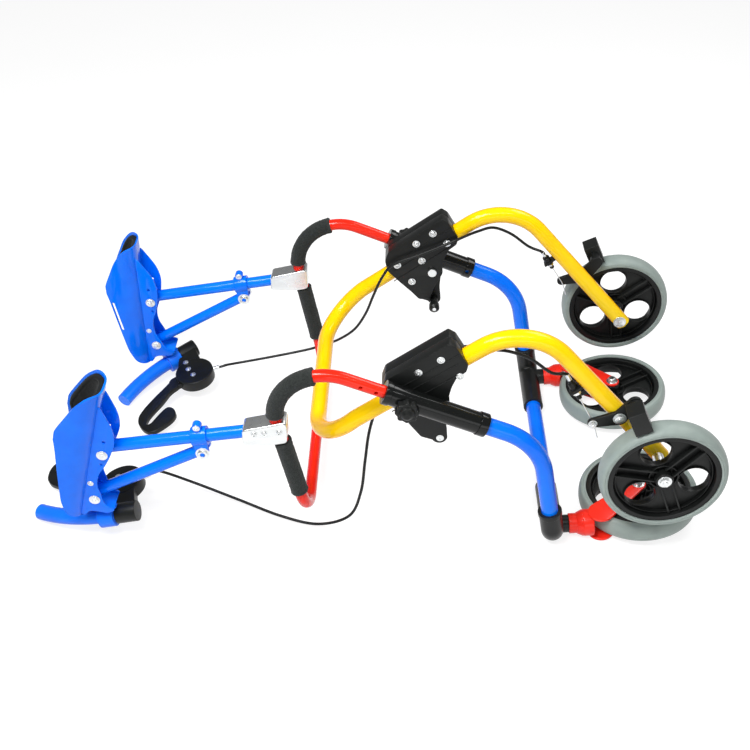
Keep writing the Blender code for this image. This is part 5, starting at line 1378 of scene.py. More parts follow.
def grip_points():
    """The bent axis of the grip bar, in the grip's own axes."""
    points = []
    steps = 24
    for i in range(steps + 1):
        angle = GRIP_BEND * i / steps
        radius = GRIP_LENGTH / GRIP_BEND
        points.append(Vector((radius * math.sin(angle), radius * (1 - math.cos(angle)), 0)))
    return points


def make_hand_grip(name, side):
    """The grip bar with the cuff that turns on the trough's stud."""
    frame = grip_frame(side)
    down = trough_frame(side).to_3x3().col[0]
    line = [frame @ point for point in grip_points()]
    first = frame @ Vector((SEAT_GAP - HOUSING_CLAMP_START, 0, 0))
    along = frame.to_3x3().col[0]
    centre = frame.translation
    knuckle_top = trough_frame(side) @ Vector((GRIP_FACE + SEAT_GAP, GRIP_OPEN, 0))
    bar = pipe(name, [first, *line], GRIP_RADIUS, GRIP_SIDES)
    cuff = rod("cuff", centre - along * CUFF_HALF, centre + along * CUFF_HALF, CUFF_RADIUS, PIN_SIDES)
    knuckle = rod("knuckle", knuckle_top, centre, GRIP_KNUCKLE, PIN_SIDES)
    stud_room = rod(
        "stud_room", knuckle_top - down * 0.002,
        knuckle_top + down * (GRIP_ALONG + 0.0063 - GRIP_FACE),
        cleared(GRIP_PIN), PIN_SIDES,
    )
    clamp_room = rod(
        "clamp_room",
        centre - along * (HOUSING_CLAMP_START + 0.025),
        centre - along * (HOUSING_CLAMP_START - SEAT_GAP),
        cleared(HOUSING_CLAMP_RADIUS), PIN_SIDES,
    )
    spigot = rod("spigot", centre, centre - along * GRIP_SPIGOT_END, GRIP_SPIGOT, PIN_SIDES)
    return cut(join(bar, cuff, cut(knuckle, clamp_room), spigot), stud_room)


def make_housing(name, side):
    """The brake lever's housing: a clamp on the grip's end and a flat round body."""
    frame = grip_frame(side)

    def at(t, n, m=0.0):
        return frame @ Vector((t, n, m))

    start = -HOUSING_CLAMP_START
    disc = (HOUSING_DISC_T, HOUSING_DISC_N)
    root = (-0.030, 0.012)
    half = HOUSING_DISC_HALF
    neck = link_outline(root, 0.0165, (-0.014, 0.047), 0.0235)
    gap = 0.0008
    cuff_room = rod(
        "cuff_room", at(-HOUSING_CLAMP_START, 0), at(CUFF_HALF + gap, 0),
        (CUFF_RADIUS + gap) / math.cos(math.pi / 20), PIN_SIDES,
    )
    flat = join(
        rod(name, at(*disc, -half), at(*disc, half), HOUSING_DISC_RADIUS, WHEEL_STEPS, ease=0.003),
        slab("neck", neck, 2 * half * 0.94, frame, 0.0025),
    )
    body = join(
        cut(flat, cuff_room),
        rod("clamp", at(start, 0), at(start - HOUSING_CLAMP_LENGTH, 0), HOUSING_CLAMP_RADIUS, PIN_SIDES),
        rod("steel_ferrule", at(*FERRULE_START), at(*FERRULE_END), FERRULE_RADIUS, PIN_SIDES),
    )
    screws = []
    for t, n in ((-0.010, 0.039), (-0.004, 0.060), (-0.003, 0.081)):
        screws += hex_bolt(at(t, n, side * half), frame.to_3x3().col[2] * side, 0.0042, 0.0018)
    spigot_end = -GRIP_SPIGOT_END - SEAT_GAP
    spigot_room = rod(
        "spigot_room", at(start + PAST, 0), at(spigot_end, 0), cleared(GRIP_SPIGOT), PIN_SIDES,
    )
    slot = rod("lever_slot", at(*disc, -LEVER_SLOT_HALF), at(*disc, LEVER_SLOT_HALF), 0.021, PIN_SIDES)
    mouth = [(-0.008, 0.048), (0.060, 0.020), (0.060, 0.125), (-0.010, 0.093)]
    mouth_slab = slab("lever_mouth", mouth, 2 * LEVER_SLOT_HALF, frame)
    pin = rod("lever_pin", at(*disc, -half * 0.8), at(*disc, half * 0.8), LEVER_PIN, PIN_SIDES)
    body = cut(join(body, *screws), slot, mouth_slab, spigot_room)
    return join(body, pin)


def make_lever(name, side):
    """The hooked brake lever, bent back on itself at its tip."""
    frame = grip_frame(side)
    outer = [
        (0.020, 0.050), (0.056, 0.064), (0.084, 0.074), (0.110, 0.085), (0.130, 0.097), (0.140, 0.112),
        (0.142, 0.134), (0.137, 0.150), (0.126, 0.157), (0.108, 0.157), (0.087, 0.154), (0.074, 0.146),
        (0.069, 0.131), (0.072, 0.119), (0.080, 0.115), (0.096, 0.120), (0.112, 0.127), (0.122, 0.1315),
        (0.1285, 0.130), (0.1285, 0.125), (0.118, 0.115), (0.100, 0.1065), (0.078, 0.098), (0.053, 0.084),
        (0.028, 0.081),
    ]
    arm = slab(name, eased(outer, 0.008, True), 2 * LEVER_HALF, frame, 0.0018)

    def at(height):
        return frame @ Vector((HOUSING_DISC_T, HOUSING_DISC_N, height))

    hub = rod("hub", at(-LEVER_HALF * 0.98), at(LEVER_HALF * 0.98), 0.0165, PIN_SIDES)
    link = link_outline((HOUSING_DISC_T, HOUSING_DISC_N), 0.0145, (0.030, 0.0665), 0.0140)
    neck = slab("lever_neck", link, 2 * LEVER_HALF * 0.96, frame)
    hole = rod("pin_hole", at(-0.01), at(0.01), cleared(LEVER_PIN), PIN_SIDES)
    return cut(join(arm, hub, neck), hole)


def smooth_route(points, spacing):
    """Evenly spaced points on one smooth curve through the given ones."""
    ends = [2 * points[0] - points[1], *points, 2 * points[-1] - points[-2]]
    dense = []
    for p0, p1, p2, p3 in zip(ends, ends[1:], ends[2:], ends[3:]):
        for i in range(12):
            t = i / 12
            bend = 2 * p0 - 5 * p1 + 4 * p2 - p3
            curl = 3 * p1 - p0 - 3 * p2 + p3
            dense.append((2 * p1 + (p2 - p0) * t + bend * t * t + curl * t**3) / 2)
    dense.append(points[-1])
    total = length_of(dense)
    count = max(2, round(total / spacing))
    route = [dense[0]]
    walked = 0.0
    for a, b in zip(dense, dense[1:]):
        length = (b - a).length
        while len(route) < count and walked + length >= total * len(route) / count:
            route.append(a.lerp(b, (total * len(route) / count - walked) / length))
        walked += length
    route.append(dense[-1])
    return route


def cable_route(side):
    """The brake cable's route, from the housing's ferrule to the adjuster on the rear frame."""
    frame = grip_frame(side)
    out = (frame @ Vector(FERRULE_END)) - (frame @ Vector(FERRULE_START))
    exit_point = frame @ Vector(FERRULE_END) + out.normalized() * SEAT_GAP
    upper, lower = stop_barrel(side)
    heading = (lower - upper).normalized()
    tail = [across(side, *place) for place in CABLE_TAIL]
    hanging = LEFT_CABLE if side < 0 else RIGHT_CABLE
    points = [exit_point, exit_point + out.normalized() * 0.015]
    points += [Vector(point) for point in hanging] + tail
    points.append(upper - heading * (SEAT_GAP + 0.012))
    points.append(upper - heading * SEAT_GAP)
    return smooth_route(points, 0.004)


def grid(shape, rows):
    """The vertices and faces of a sheet through rows of points."""
    sheet = [[shape.verts.new(point) for point in row] for row in rows]
    for near, far in zip(sheet, sheet[1:]):
        for i in range(len(near) - 1):
            shape.faces.new([near[i], near[i + 1], far[i + 1], far[i]])
    return sheet


def make_leg(name, side):
    """A bent front leg, from inside the sleeve down into the elbow."""
    line, _ = leg_line(side)
    return [pipe(name, line, FRAME_TUBE)]


def make_cross_tube():
    """The straight tube between the two elbows."""
    ends = [across(side, CROSS_END_Y, CROSS_X, CROSS_Z) for side in (-1, 1)]
    return [rod("front_cross_tube", *ends, FRAME_TUBE)]


def make_handlebar():
    """The bent handlebar with the holes that its height is set by."""
    line = bar_line()
    tube = pipe("handlebar_tube", line, BAR_TUBE)
    holes = []
    for side in (-1, 1):
        for step in HEIGHT_HOLES:
            along = KNOB_ALONG + step * HEIGHT_PITCH
            ends = [sleeve_along(side, along, SLEEVE_Y + offset) for offset in (0.001, 0.013)]
            holes.append(rod("height_hole", *ends, HEIGHT_HOLE_RADIUS, PIN_SIDES))
    return cut(tube, *holes)


def make_foam(name, side, span_along):
    """A foam tube over one stretch of the handlebar, with swollen, slightly torn ends."""
    line = bar_line()
    if side > 0:
        line = line[::-1]
    start = BAR_INSERTION + span_along[0]
    end = BAR_INSERTION + span_along[1]
    bore = BAR_TUBE + RUN_GAP
    inner_length = end - start - 2 * FOAM_END_LENGTH
    steps = int(inner_length / FOAM_STEP)
    stations = [(start, bore), *[(start + inset, FOAM_RADIUS + rise) for inset, rise in FOAM_END]]
    stations += [
        (start + FOAM_END_LENGTH + inner_length * i / steps, FOAM_RADIUS) for i in range(steps + 1)
    ]
    stations += [*[(end - inset, FOAM_RADIUS + rise) for inset, rise in FOAM_END[::-1]], (end, bore)]
    return [sweep(name, line, stations, FINE_SIDES, FOAM_ROUGHNESS)]


def rear_frame_line():
    """The rear frame's bent axis, from the left axle round to the right one."""
    kink_z = rear_line_height(REAR_KINK_X)
    apex_to_axle = Vector((REAR_WHEEL_X - REAR_APEX_X, 0, REAR_WHEEL_Z - REAR_APEX_Z))
    overrun = apex_to_axle.normalized() * REAR_END_OVERRUN
    halves = {}
    for side in (-1, 1):
        halves[side] = [
            across(side, REAR_Y, REAR_WHEEL_X, REAR_WHEEL_Z) + overrun,
            across(side, REAR_Y, REAR_APEX_X, REAR_APEX_Z),
            across(side, REAR_Y, REAR_KINK_X, kink_z),
            across(side, REAR_Y, REAR_CROSS_X, REAR_CROSS_Z),
        ]
    radii = [REAR_APEX_BEND, REAR_KINK_BEND, REAR_CROSS_BEND]
    return rounded(halves[-1] + halves[1][::-1], radii + radii[::-1])


def make_rear_frame():
    """The bent rear frame tube."""
    return [pipe("rear_frame_tube", rear_frame_line(), FRAME_TUBE)]


def make_rear_caps():
    """The moulded plugs in the two ends of the rear frame tube."""
    line = rear_frame_line()
    caps = []
    for end, before in ((line[0], line[1]), (line[-1], line[-2])):
        out = (end - before).normalized()
        profile = [(0, -0.001), (FRAME_TUBE - 0.0002, -0.001), (FRAME_TUBE - 0.0002, 0.0006)]
        profile += [(FRAME_TUBE - 0.002, 0.0012), (0, 0.0013)]
        caps.append(turned("cap", profile, facing(out, end)))
    return caps


def make_tyre(name, matrix):
    """A smooth solid tyre with a rounded crown and a moulded line on each side."""
    half = TYRE_HALF_WIDTH
    seat = RIM_RADIUS + SEAT_GAP
    side = [(seat, half - 0.0009), (seat + 0.0012, half - 0.0001)]
    side += [(WHEEL_RADIUS - depth, half - inset) for depth, inset in TYRE_PROFILE]
    other = [(radius, -height) for radius, height in side[::-1]]
    return [turned(name, [*side, (WHEEL_RADIUS, 0.0), *other], matrix, WHEEL_STEPS)]


def ring_profile(inner, outer, low, high, ease=0.0007):
    """The closed section of a ring with rounded edges."""
    corners = [(inner, low), (outer, low), (outer, high), (inner, high)]
    return eased(corners, ease, closed=True)


def make_rim(name, matrix):
    """A moulded rim: hub, web with three lipped holes, ribs in pairs and two rings."""
    flange = [
        (RIM_RADIUS, RIM_HALF_WIDTH), (RIM_RADIUS, -RIM_HALF_WIDTH), (RIM_RING + 0.0035, -RIM_HALF_WIDTH),
        (RIM_RING + 0.0020, -WEB_HALF), (RIM_RING + 0.0020, WEB_HALF),
        (RIM_RING + 0.0035, RIM_HALF_WIDTH),
    ]
    openings = []
    lips = []
    bore = AXLE + RUN_GAP
    for i in range(3):
        angle = math.radians(120 * i)
        centre = (WHEEL_HOLE_AT * math.cos(angle), WHEEL_HOLE_AT * math.sin(angle))
        openings.append(circle(centre, WHEEL_HOLE_RADIUS, FINE_SIDES))
        place = matrix @ Matrix.Translation((*centre, 0))
        lip = ring_profile(WHEEL_HOLE_RADIUS, WHEEL_HOLE_RADIUS + LIP_WIDTH, -LIP_HALF, LIP_HALF)
        lips.append(turned("lip", lip, place, FINE_SIDES))
    openings.append(circle((0, 0), bore, PIN_SIDES))
    shells = [
        turned(name, eased(flange, 0.0009, closed=True), matrix, WHEEL_STEPS),
        slab("web", circle((0, 0), RIM_RING + 0.003), 2 * WEB_HALF, matrix, holes=openings),
        turned("hub", ring_profile(bore, HUB_RADIUS, -HUB_HALF, HUB_HALF, 0.0012), matrix, WHEEL_STEPS),
        turned("hub_ring", ring_profile(*HUB_RING, -0.0085, 0.0085), matrix, WHEEL_STEPS),
        turned("outer_ring", ring_profile(*OUTER_RING, -0.0090, 0.0090), matrix, WHEEL_STEPS),
        *lips,
    ]
    rib_start = HUB_RADIUS - SUNK
    rib_end = RIM_RING + 0.004
    for i in range(3):
        spoke = matrix @ Matrix.Rotation(math.radians(60 + 120 * i), 4, "Z")
        for offset in (-RIB_OFFSET, RIB_OFFSET):
            place = spoke @ Matrix.Translation(((rib_start + rib_end) / 2, offset, 0))
            shells.append(brick("rib", (rib_end - rib_start, RIB_THICKNESS, 2 * RIB_HALF), place))
    return shells


def trough_section():
    """The trough's inner line across the arm, as closely spaced points."""
    return smooth_route([Vector((place, opening, 0)) for place, opening in TROUGH_SECTION], 0.0016)


def reach_of(outline, opening):
    """Where an open outline starts and ends down the forearm, at one opening height."""
    hits = []
    for (low, height_a), (high, height_b) in zip(outline, outline[1:]):
        if min(height_a, height_b) <= opening <= max(height_a, height_b) and height_a != height_b:
            hits.append(low + (high - low) * (opening - height_a) / (height_b - height_a))
    return min(hits), max(hits)


def edge_distance(outline, place, opening):
    """How far a point of the side view is from the outline's edge."""
    point = Vector((place, opening))
    nearest = 1.0
    for a, b in zip(outline, outline[1:]):
        start = Vector(a)
        along = Vector(b) - start
        share = max(0.0, min(1.0, (point - start).dot(along) / along.length_squared))
        nearest = min(nearest, (point - start - along * share).length)
    return nearest


def trough_rows(outline, columns, depth_at):
    """Rows of points on the trough's curved wall, moved inwards by depth_at of each point."""
    section = trough_section()
    top = max(opening for _, opening in outline) - 0.0004
    rows = []
    for i, point in enumerate(section):
        if point.y > top:
            continue
        tangent = (section[min(i + 1, len(section) - 1)] - section[max(i - 1, 0)]).normalized()
        normal = Vector((-tangent.y, tangent.x, 0))
        low, high = reach_of(outline, point.y)
        row = []
        for k in range(columns + 1):
            place = low + (high - low) * k / columns
            moved = point + normal * depth_at(place, point.y)
            row.append(Vector((place, moved.y, -moved.x)))
        rows.append(row)
    return rows


def make_shell_sheet(name, frame):
    """The curved arm shell as a bent sheet with rounded rims and its strap slots."""
    outline = eased(TROUGH_OUTLINE, 0.010, steps=6)
    shape = bmesh.new()
    grid(shape, trough_rows(outline, 110, lambda place, opening: -TROUGH_SHEET / 2))
    shape.transform(frame)
    obj = shell(name, shape)
    solid = obj.modifiers.new("Sheet", "SOLIDIFY")
    solid.thickness = TROUGH_SHEET
    solid.offset = 0.0
    solid.use_even_offset = True
    edge = obj.modifiers.new("Rim", "BEVEL")
    edge.width = 0.0011
    edge.segments = 3
    edge.limit_method = "ANGLE"
    edge.angle_limit = math.radians(55)
    sheet = baked(obj)
    slot_place = frame @ Matrix.Translation((*STRAP_SLOT_AT, 0)) @ Matrix.Rotation(STRAP_SLOT_SLANT, 4, "Z")
    half = STRAP_SLOT_LENGTH / 2
    slot_outline = link_outline((-half, 0), STRAP_SLOT_HALF, (half, 0), STRAP_SLOT_HALF * 0.995, 8)
    return cut(sheet, slab("strap_slot", slot_outline, 0.12, slot_place))


def make_trough(name, side):
    """The bent arm shell with its two flanges, bolts and swivel stud."""
    frame = trough_frame(side)
    sheet = TROUGH_SHEET
    flange = [
        (-0.078, 0.004), (-0.055, -0.010), (-0.030, -0.0165), (0.0, -0.0130), (0.024, -0.0070),
        (0.040, -0.0005), (0.056, 0.0010), (0.072, -0.0015), (0.088, -0.0095), (0.102, -0.0140),
        (0.109, -0.0225), (0.1110, -0.0335), (0.1165, -0.0335), (0.1210, -0.0285), (GRIP_FACE, -0.0240),
        (GRIP_FACE, 0.0040), (0.1385, 0.0110), (0.1385, 0.0185), (-0.100, 0.0185),
    ]
    middle = TROUGH_FOLD_HALF - sheet / 2
    shapes = []
    holes = [circle((-0.0275, 0.001), 0.0025, 24), circle((0.0205, -0.001), 0.0025, 24)]
    for offset in (-middle, middle):
        place = frame @ Matrix.Translation((0, 0, offset))
        shapes.append(slab("flange", eased(flange, 0.012, closed=True), sheet, place, 0.0009, holes))
    pocket = [
        (0.1150, -0.0330), (0.1163, -0.0330), (0.1208, -0.0283), (GRIP_FACE - 0.0002, -0.0238),
        (GRIP_FACE - 0.0002, 0.0160), (0.1150, 0.0160),
    ]
    shapes.append(slab("pocket", pocket, 2 * TROUGH_FOLD_HALF - sheet, frame))

    def at(along, opening, sideways=0.0):
        return frame @ Vector((along, opening, sideways))

    shapes.append(rod("post_pin", at(0, 0, -middle), at(0, 0, middle), TROUGH_PIN))
    out = frame.to_3x3().col[2]
    for direction in (-1, 1):
        face = direction * TROUGH_FOLD_HALF
        shapes += hex_bolt(at(0, 0, face), out * direction, TROUGH_HEAD, 0.0036)
        shapes += hex_bolt(at(TROUGH_BOLTS, 0, face), out * direction, TROUGH_HEAD, 0.0036)
        inner = direction * (STRUT_TUBE + STRUT_SIDE_GAP)
        shapes.append(rod("strut_shank", at(TROUGH_BOLTS, 0, inner), at(TROUGH_BOLTS, 0, face), TROUGH_PIN))
        shapes += screw_head(at(0.0650, 0.0105, face), out * direction, 0.0036, 0.0016)
    stud_end = GRIP_ALONG + 0.006
    shapes.append(rod("swivel_stud", at(0.118, GRIP_OPEN), at(stud_end, GRIP_OPEN), GRIP_PIN))
    return join(make_shell_sheet(name, frame), *shapes)


def make_pad(name, side):
    """The soft lining of the trough: a padded sheet with a full round rim and a sewn channel."""
    frame = trough_frame(side)
    outline = eased(PAD_OUTLINE, 0.012, steps=6)

    def thickness(place, opening):
        far = edge_distance(outline, place, opening)
        rise = min(far / PAD_ROUND, 1.0)
        full = 0.0010 + (PAD_THICKNESS - 0.0012) * math.sqrt(1 - (1 - rise) ** 2)
        seam = PAD_SEAM_DEPTH * math.exp(-(((far - PAD_SEAM_AT) / PAD_SEAM_WIDTH) ** 2))
        crumple = PAD_CRUMPLE * noise.noise(Vector((place * 55, opening * 55, 3.7)))
        return SEAT_GAP + max(0.0008, full - seam + crumple * rise)

    lower = trough_rows(outline, 150, lambda place, opening: SEAT_GAP)
    upper = trough_rows(outline, 150, thickness)
    shape = bmesh.new()
    bottom = grid(shape, lower)
    top = grid(shape, upper)
    for one, other in ((bottom[0], top[0]), (bottom[-1], top[-1])):
        for i in range(len(one) - 1):
            shape.faces.new([one[i], one[i + 1], other[i + 1], other[i]])
    for k in (0, -1):
        for i in range(len(bottom) - 1):
            shape.faces.new([bottom[i][k], bottom[i + 1][k], top[i + 1][k], top[i][k]])
    shape.transform(frame)
    return [shell(name, shape)]


def swept_tube(name, line, radius, spacing=0.004):
    """A thin round tube along a line of points."""
    total = length_of(line)
    count = max(2, int(total / spacing))
    return sweep(name, line, [(total * i / count, radius) for i in range(count + 1)], CABLE_SIDES)


def nodes_of(material):
    return material.node_tree.nodes, material.node_tree.links


def speckled(links, nodes, scale, detail, stretch_by=(1, 1, 1)):
    """A noise texture in the object's own space."""
    place = nodes.new("ShaderNodeTexCoord")
    mapping = nodes.new("ShaderNodeMapping")
    mapping.inputs["Scale"].default_value = stretch_by
    texture = nodes.new("ShaderNodeTexNoise")
    texture.inputs["Scale"].default_value = scale
    texture.inputs["Detail"].default_value = detail
    links.new(place.outputs["Object"], mapping.inputs["Vector"])
    links.new(mapping.outputs["Vector"], texture.inputs["Vector"])
    return texture.outputs["Fac"]


def ramped(links, nodes, source, stops):
    ramp = nodes.new("ShaderNodeValToRGB")
    ramp.color_ramp.elements[0].position = stops[0][0]
    ramp.color_ramp.elements[0].color = (*stops[0][1], 1)
    ramp.color_ramp.elements[1].position = stops[1][0]
    ramp.color_ramp.elements[1].color = (*stops[1][1], 1)
    links.new(source, ramp.inputs["Fac"])
    return ramp.outputs["Color"]


def tinted(links, nodes, colour, share, tint):
    """A colour mixed with one plain tint, by the share that a node gives."""
    mix = nodes.new("ShaderNodeMix")
    mix.data_type = "RGBA"
    mix.inputs["B"].default_value = (*tint, 1)
    links.new(share, mix.inputs["Factor"])
    links.new(colour, mix.inputs["A"])
    return mix.outputs["Result"]


# Inputs of the main shader, their names in a look, and their usual values
SHADER_SETTINGS = [
    ("Metallic", "metallic", 0.0), ("Coat Weight", "coat", 0.0),
    ("Coat Roughness", "coat_roughness", 0.06), ("Sheen Weight", "sheen", 0.0),
    ("Specular IOR Level", "specular", 0.5),
]


def surface(name, colour, low, roughness, look):
    """A procedural finish: two random tones, uneven gloss, a fine relief, paler worn edges, and painted
    shade that darkens the sides turning away from the view.
    """
    material = bpy.data.materials.new(name)
    material.use_nodes = True
    nodes, links = nodes_of(material)
    shader = nodes["Principled BSDF"]
    for socket, key, usual in SHADER_SETTINGS:
        shader.inputs[socket].default_value = look.get(key, usual)
    patches = speckled(links, nodes, look.get("patch_scale", 28), 5, look.get("grain", (1, 1, 1)))
    shade = ramped(links, nodes, patches, [(0.34, low), (0.62, colour)])
    geometry = nodes.new("ShaderNodeNewGeometry")
    worn = [(0.515, (0, 0, 0)), (0.60, (0.55, 0.55, 0.55))]
    edges = ramped(links, nodes, geometry.outputs["Pointiness"], worn)
    shade = tinted(links, nodes, shade, edges, look.get("edge", colour))
    # Painted shade: where the surface turns away from the view, the colour darkens towards a darker tint
    # (the darker random tone where no tint is given), in place of shading on the sides of the tubes.
    grazing_shade_weight = nodes.new("ShaderNodeLayerWeight")
    grazing_shade_weight.inputs["Blend"].default_value = 0.4
    grazing_shade_stops = [(0.30, (0, 0, 0)), (0.85, (0.8, 0.8, 0.8))]
    grazing_shade_share = ramped(links, nodes, grazing_shade_weight.outputs["Facing"], grazing_shade_stops)
    shade = tinted(links, nodes, shade, grazing_shade_share, look.get("deep", low))
    links.new(shade, shader.inputs["Base Color"])
    gloss = nodes.new("ShaderNodeMapRange")
    gloss.inputs["To Min"].default_value = max(0.02, roughness - look.get("uneven", 0.05))
    gloss.inputs["To Max"].default_value = roughness + look.get("uneven", 0.05)
    smears = speckled(links, nodes, look.get("patch_scale", 28) * 3.1, 4, look.get("grain", (1, 1, 1)))
    links.new(smears, gloss.inputs["Value"])
    links.new(gloss.outputs["Result"], shader.inputs["Roughness"])
    relief = nodes.new("ShaderNodeBump")
    relief.inputs["Strength"].default_value = look.get("relief", 0.1)
    relief.inputs["Distance"].default_value = look.get("depth", 0.0003)
    if look.get("cells"):
        cells = nodes.new("ShaderNodeTexVoronoi")
        cells.inputs["Scale"].default_value = look["relief_scale"]
        place = nodes.new("ShaderNodeTexCoord")
        links.new(place.outputs["Object"], cells.inputs["Vector"])
        links.new(cells.outputs["Distance"], relief.inputs["Height"])
    else:
        fine = speckled(links, nodes, look.get("relief_scale", 320), 3, look.get("grain", (1, 1, 1)))
        links.new(fine, relief.inputs["Height"])
    links.new(relief.outputs["Normal"], shader.inputs["Normal"])
    return material


PAINT = {
    "coat": 0.3, "coat_roughness": 0.03, "specular": 0.12, "relief": 0.03, "relief_scale": 300,
    "uneven": 0.04,
}
MOULDED = {"specular": 0.25, "relief": 0.2, "relief_scale": 1500, "depth": 0.0002, "uneven": 0.07}


def finish_of(name, colour, low, roughness, slot_name, look, **more):
    return surface(name, colour, low, roughness, {**look, **more}), slot_name


# In these finishes the tint given for the sides that turn away from the view is painted shade, not a colour
# of the paint.
BLUE = finish_of(
    "blue_lacquer", (0.0, 0.170, 0.95), (0.0, 0.150, 0.88), 0.2, "blue_paint", PAINT,
    edge=(0.0, 0.23, 1.0), deep=(0.0, 0.075, 0.70),
)
YELLOW = finish_of(
    "yellow_lacquer", (1.0, 0.66, 0.0), (1.0, 0.60, 0.0), 0.2, "yellow_paint", PAINT,
    edge=(1.0, 0.74, 0.03), deep=(0.97, 0.34, 0.0),
)
RED = finish_of(
    "red_lacquer", (0.90, 0.020, 0.006), (0.83, 0.016, 0.005), 0.2, "red_paint", PAINT,
    edge=(0.95, 0.05, 0.02), deep=(0.58, 0.004, 0.002),
)
BLACK_GLOSS = finish_of(
    "black_lacquer", (0.006, 0.007, 0.0065), (0.0045, 0.005, 0.005), 0.2, "black_gloss", PAINT,
    edge=(0.015, 0.015, 0.015),
)
BLACK_MOULDING = finish_of(
    "black_moulding", (0.009, 0.010, 0.0095), (0.007, 0.0075, 0.0075), 0.32, "black_moulding", MOULDED,
    edge=(0.025, 0.025, 0.025),
)
BLACK_PLASTIC = finish_of(
    "black_plastic", (0.007, 0.008, 0.0075), (0.005, 0.0055, 0.0055), 0.38, "black_plastic", MOULDED,
    edge=(0.022, 0.024, 0.023),
)
CASING = finish_of(
    "cable_casing", (0.010, 0.011, 0.011), (0.007, 0.008, 0.008), 0.36, "black_plastic", MOULDED,
    edge=(0.02, 0.02, 0.02),
)
# The darkest tint given here is painted shade for the sides that turn away from the view.
BLUE_PLASTIC = finish_of(
    "blue_vinyl", (0.0, 0.17, 0.93), (0.0, 0.145, 0.85), 0.36, "blue_plastic", MOULDED,
    edge=(0.0, 0.21, 0.95), deep=(0.0, 0.08, 0.68), sheen=0.1,
)
RED_PLASTIC = finish_of(
    "red_moulding", (0.88, 0.020, 0.008), (0.80, 0.016, 0.007), 0.33, "red_plastic", MOULDED,
    edge=(0.88, 0.06, 0.03), coat=0.2,
)
STEEL = finish_of(
    "zinc_steel", (0.80, 0.82, 0.82), (0.74, 0.76, 0.76), 0.30, "zinc_steel", {}, metallic=1.0,
    grain=(1, 1, 3), relief=0.02, relief_scale=500, patch_scale=40, edge=(0.92, 0.93, 0.93), uneven=0.1,
)
RUBBER = finish_of(
    "grey_rubber", (0.270, 0.325, 0.300), (0.235, 0.285, 0.265), 0.50, "grey_rubber", {}, relief=0.18,
    relief_scale=900, depth=0.0002, patch_scale=45, edge=(0.32, 0.37, 0.35), uneven=0.08, sheen=0.1,
)
FOAM = finish_of(
    "black_foam", (0.026, 0.030, 0.028), (0.014, 0.017, 0.016), 0.88, "black_foam", {}, cells=True,
    relief=0.75, relief_scale=1300, depth=0.0006, patch_scale=420, edge=(0.05, 0.055, 0.052), sheen=0.12,
    specular=0.2,
)


LINING = finish_of(
    "pad_lining", (0.009, 0.010, 0.010), (0.005, 0.006, 0.006), 0.9, "black_foam", {}, relief=0.6,
    relief_scale=1500, depth=0.0005, patch_scale=300, edge=(0.016, 0.018, 0.017), sheen=0.08,
    specular=0.15,
)


def cable_pieces(side_name):
    """The brake cable as four lengths, split where it passes from one body to the next, and its bare wire.
    """
    side = SIDES[side_name]
    node = side_name + "_brake_cable"
    route = cable_route(side)
    total = length_of(route)
    for i in range(4):
        line = stretch(route, total * CABLE_SHARES[i], total * CABLE_SHARES[i + 1])
        piece = merged(f"{node}_length_{i + 1}", [swept_tube("casing", line, CABLE_RADIUS)], CASING[0])
        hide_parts(node)
        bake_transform(piece)
    upper, lower = stop_barrel(side)
    heading = (lower - upper).normalized()
    outward = facing_out(side)
    clamp = brake_pivot(side, BRAKE_ARM_Y) + Vector((BRAKE_CLAMP[0], 0, BRAKE_CLAMP[1]))
    hold = clamp - outward * 0.0022
    wire = swept_tube("wire", [lower - heading * 0.006, lower, hold.lerp(lower, 0.5), hold], WIRE_RADIUS)
    piece = merged(f"{node}_wire", [wire], STEEL[0])
    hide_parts(node)
    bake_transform(piece)
    sag = Vector((0, 0, -0.004))
    tail = smooth_route([hold, hold + heading * 0.010 + sag, hold + heading * 0.022 + sag * 3], 0.002)
    extra(f"{node}_wire_tail", [swept_tube("tail", tail, WIRE_RADIUS, 0.002)], STEEL, side_name + "_brake")
    ends = [
        rod("sleeve", upper - heading * 0.011, upper - heading * 0.0002, CABLE_RADIUS + 0.0008),
        rod("locknut", lower - heading * 0.012, lower - heading * 0.008, STOP_BARREL * 1.5, 6),
        rod("thread", lower - heading * 0.008, lower, STOP_BARREL * 0.8),
    ]
    extra(f"{node}_adjuster", ends, STEEL, "rear_frame")


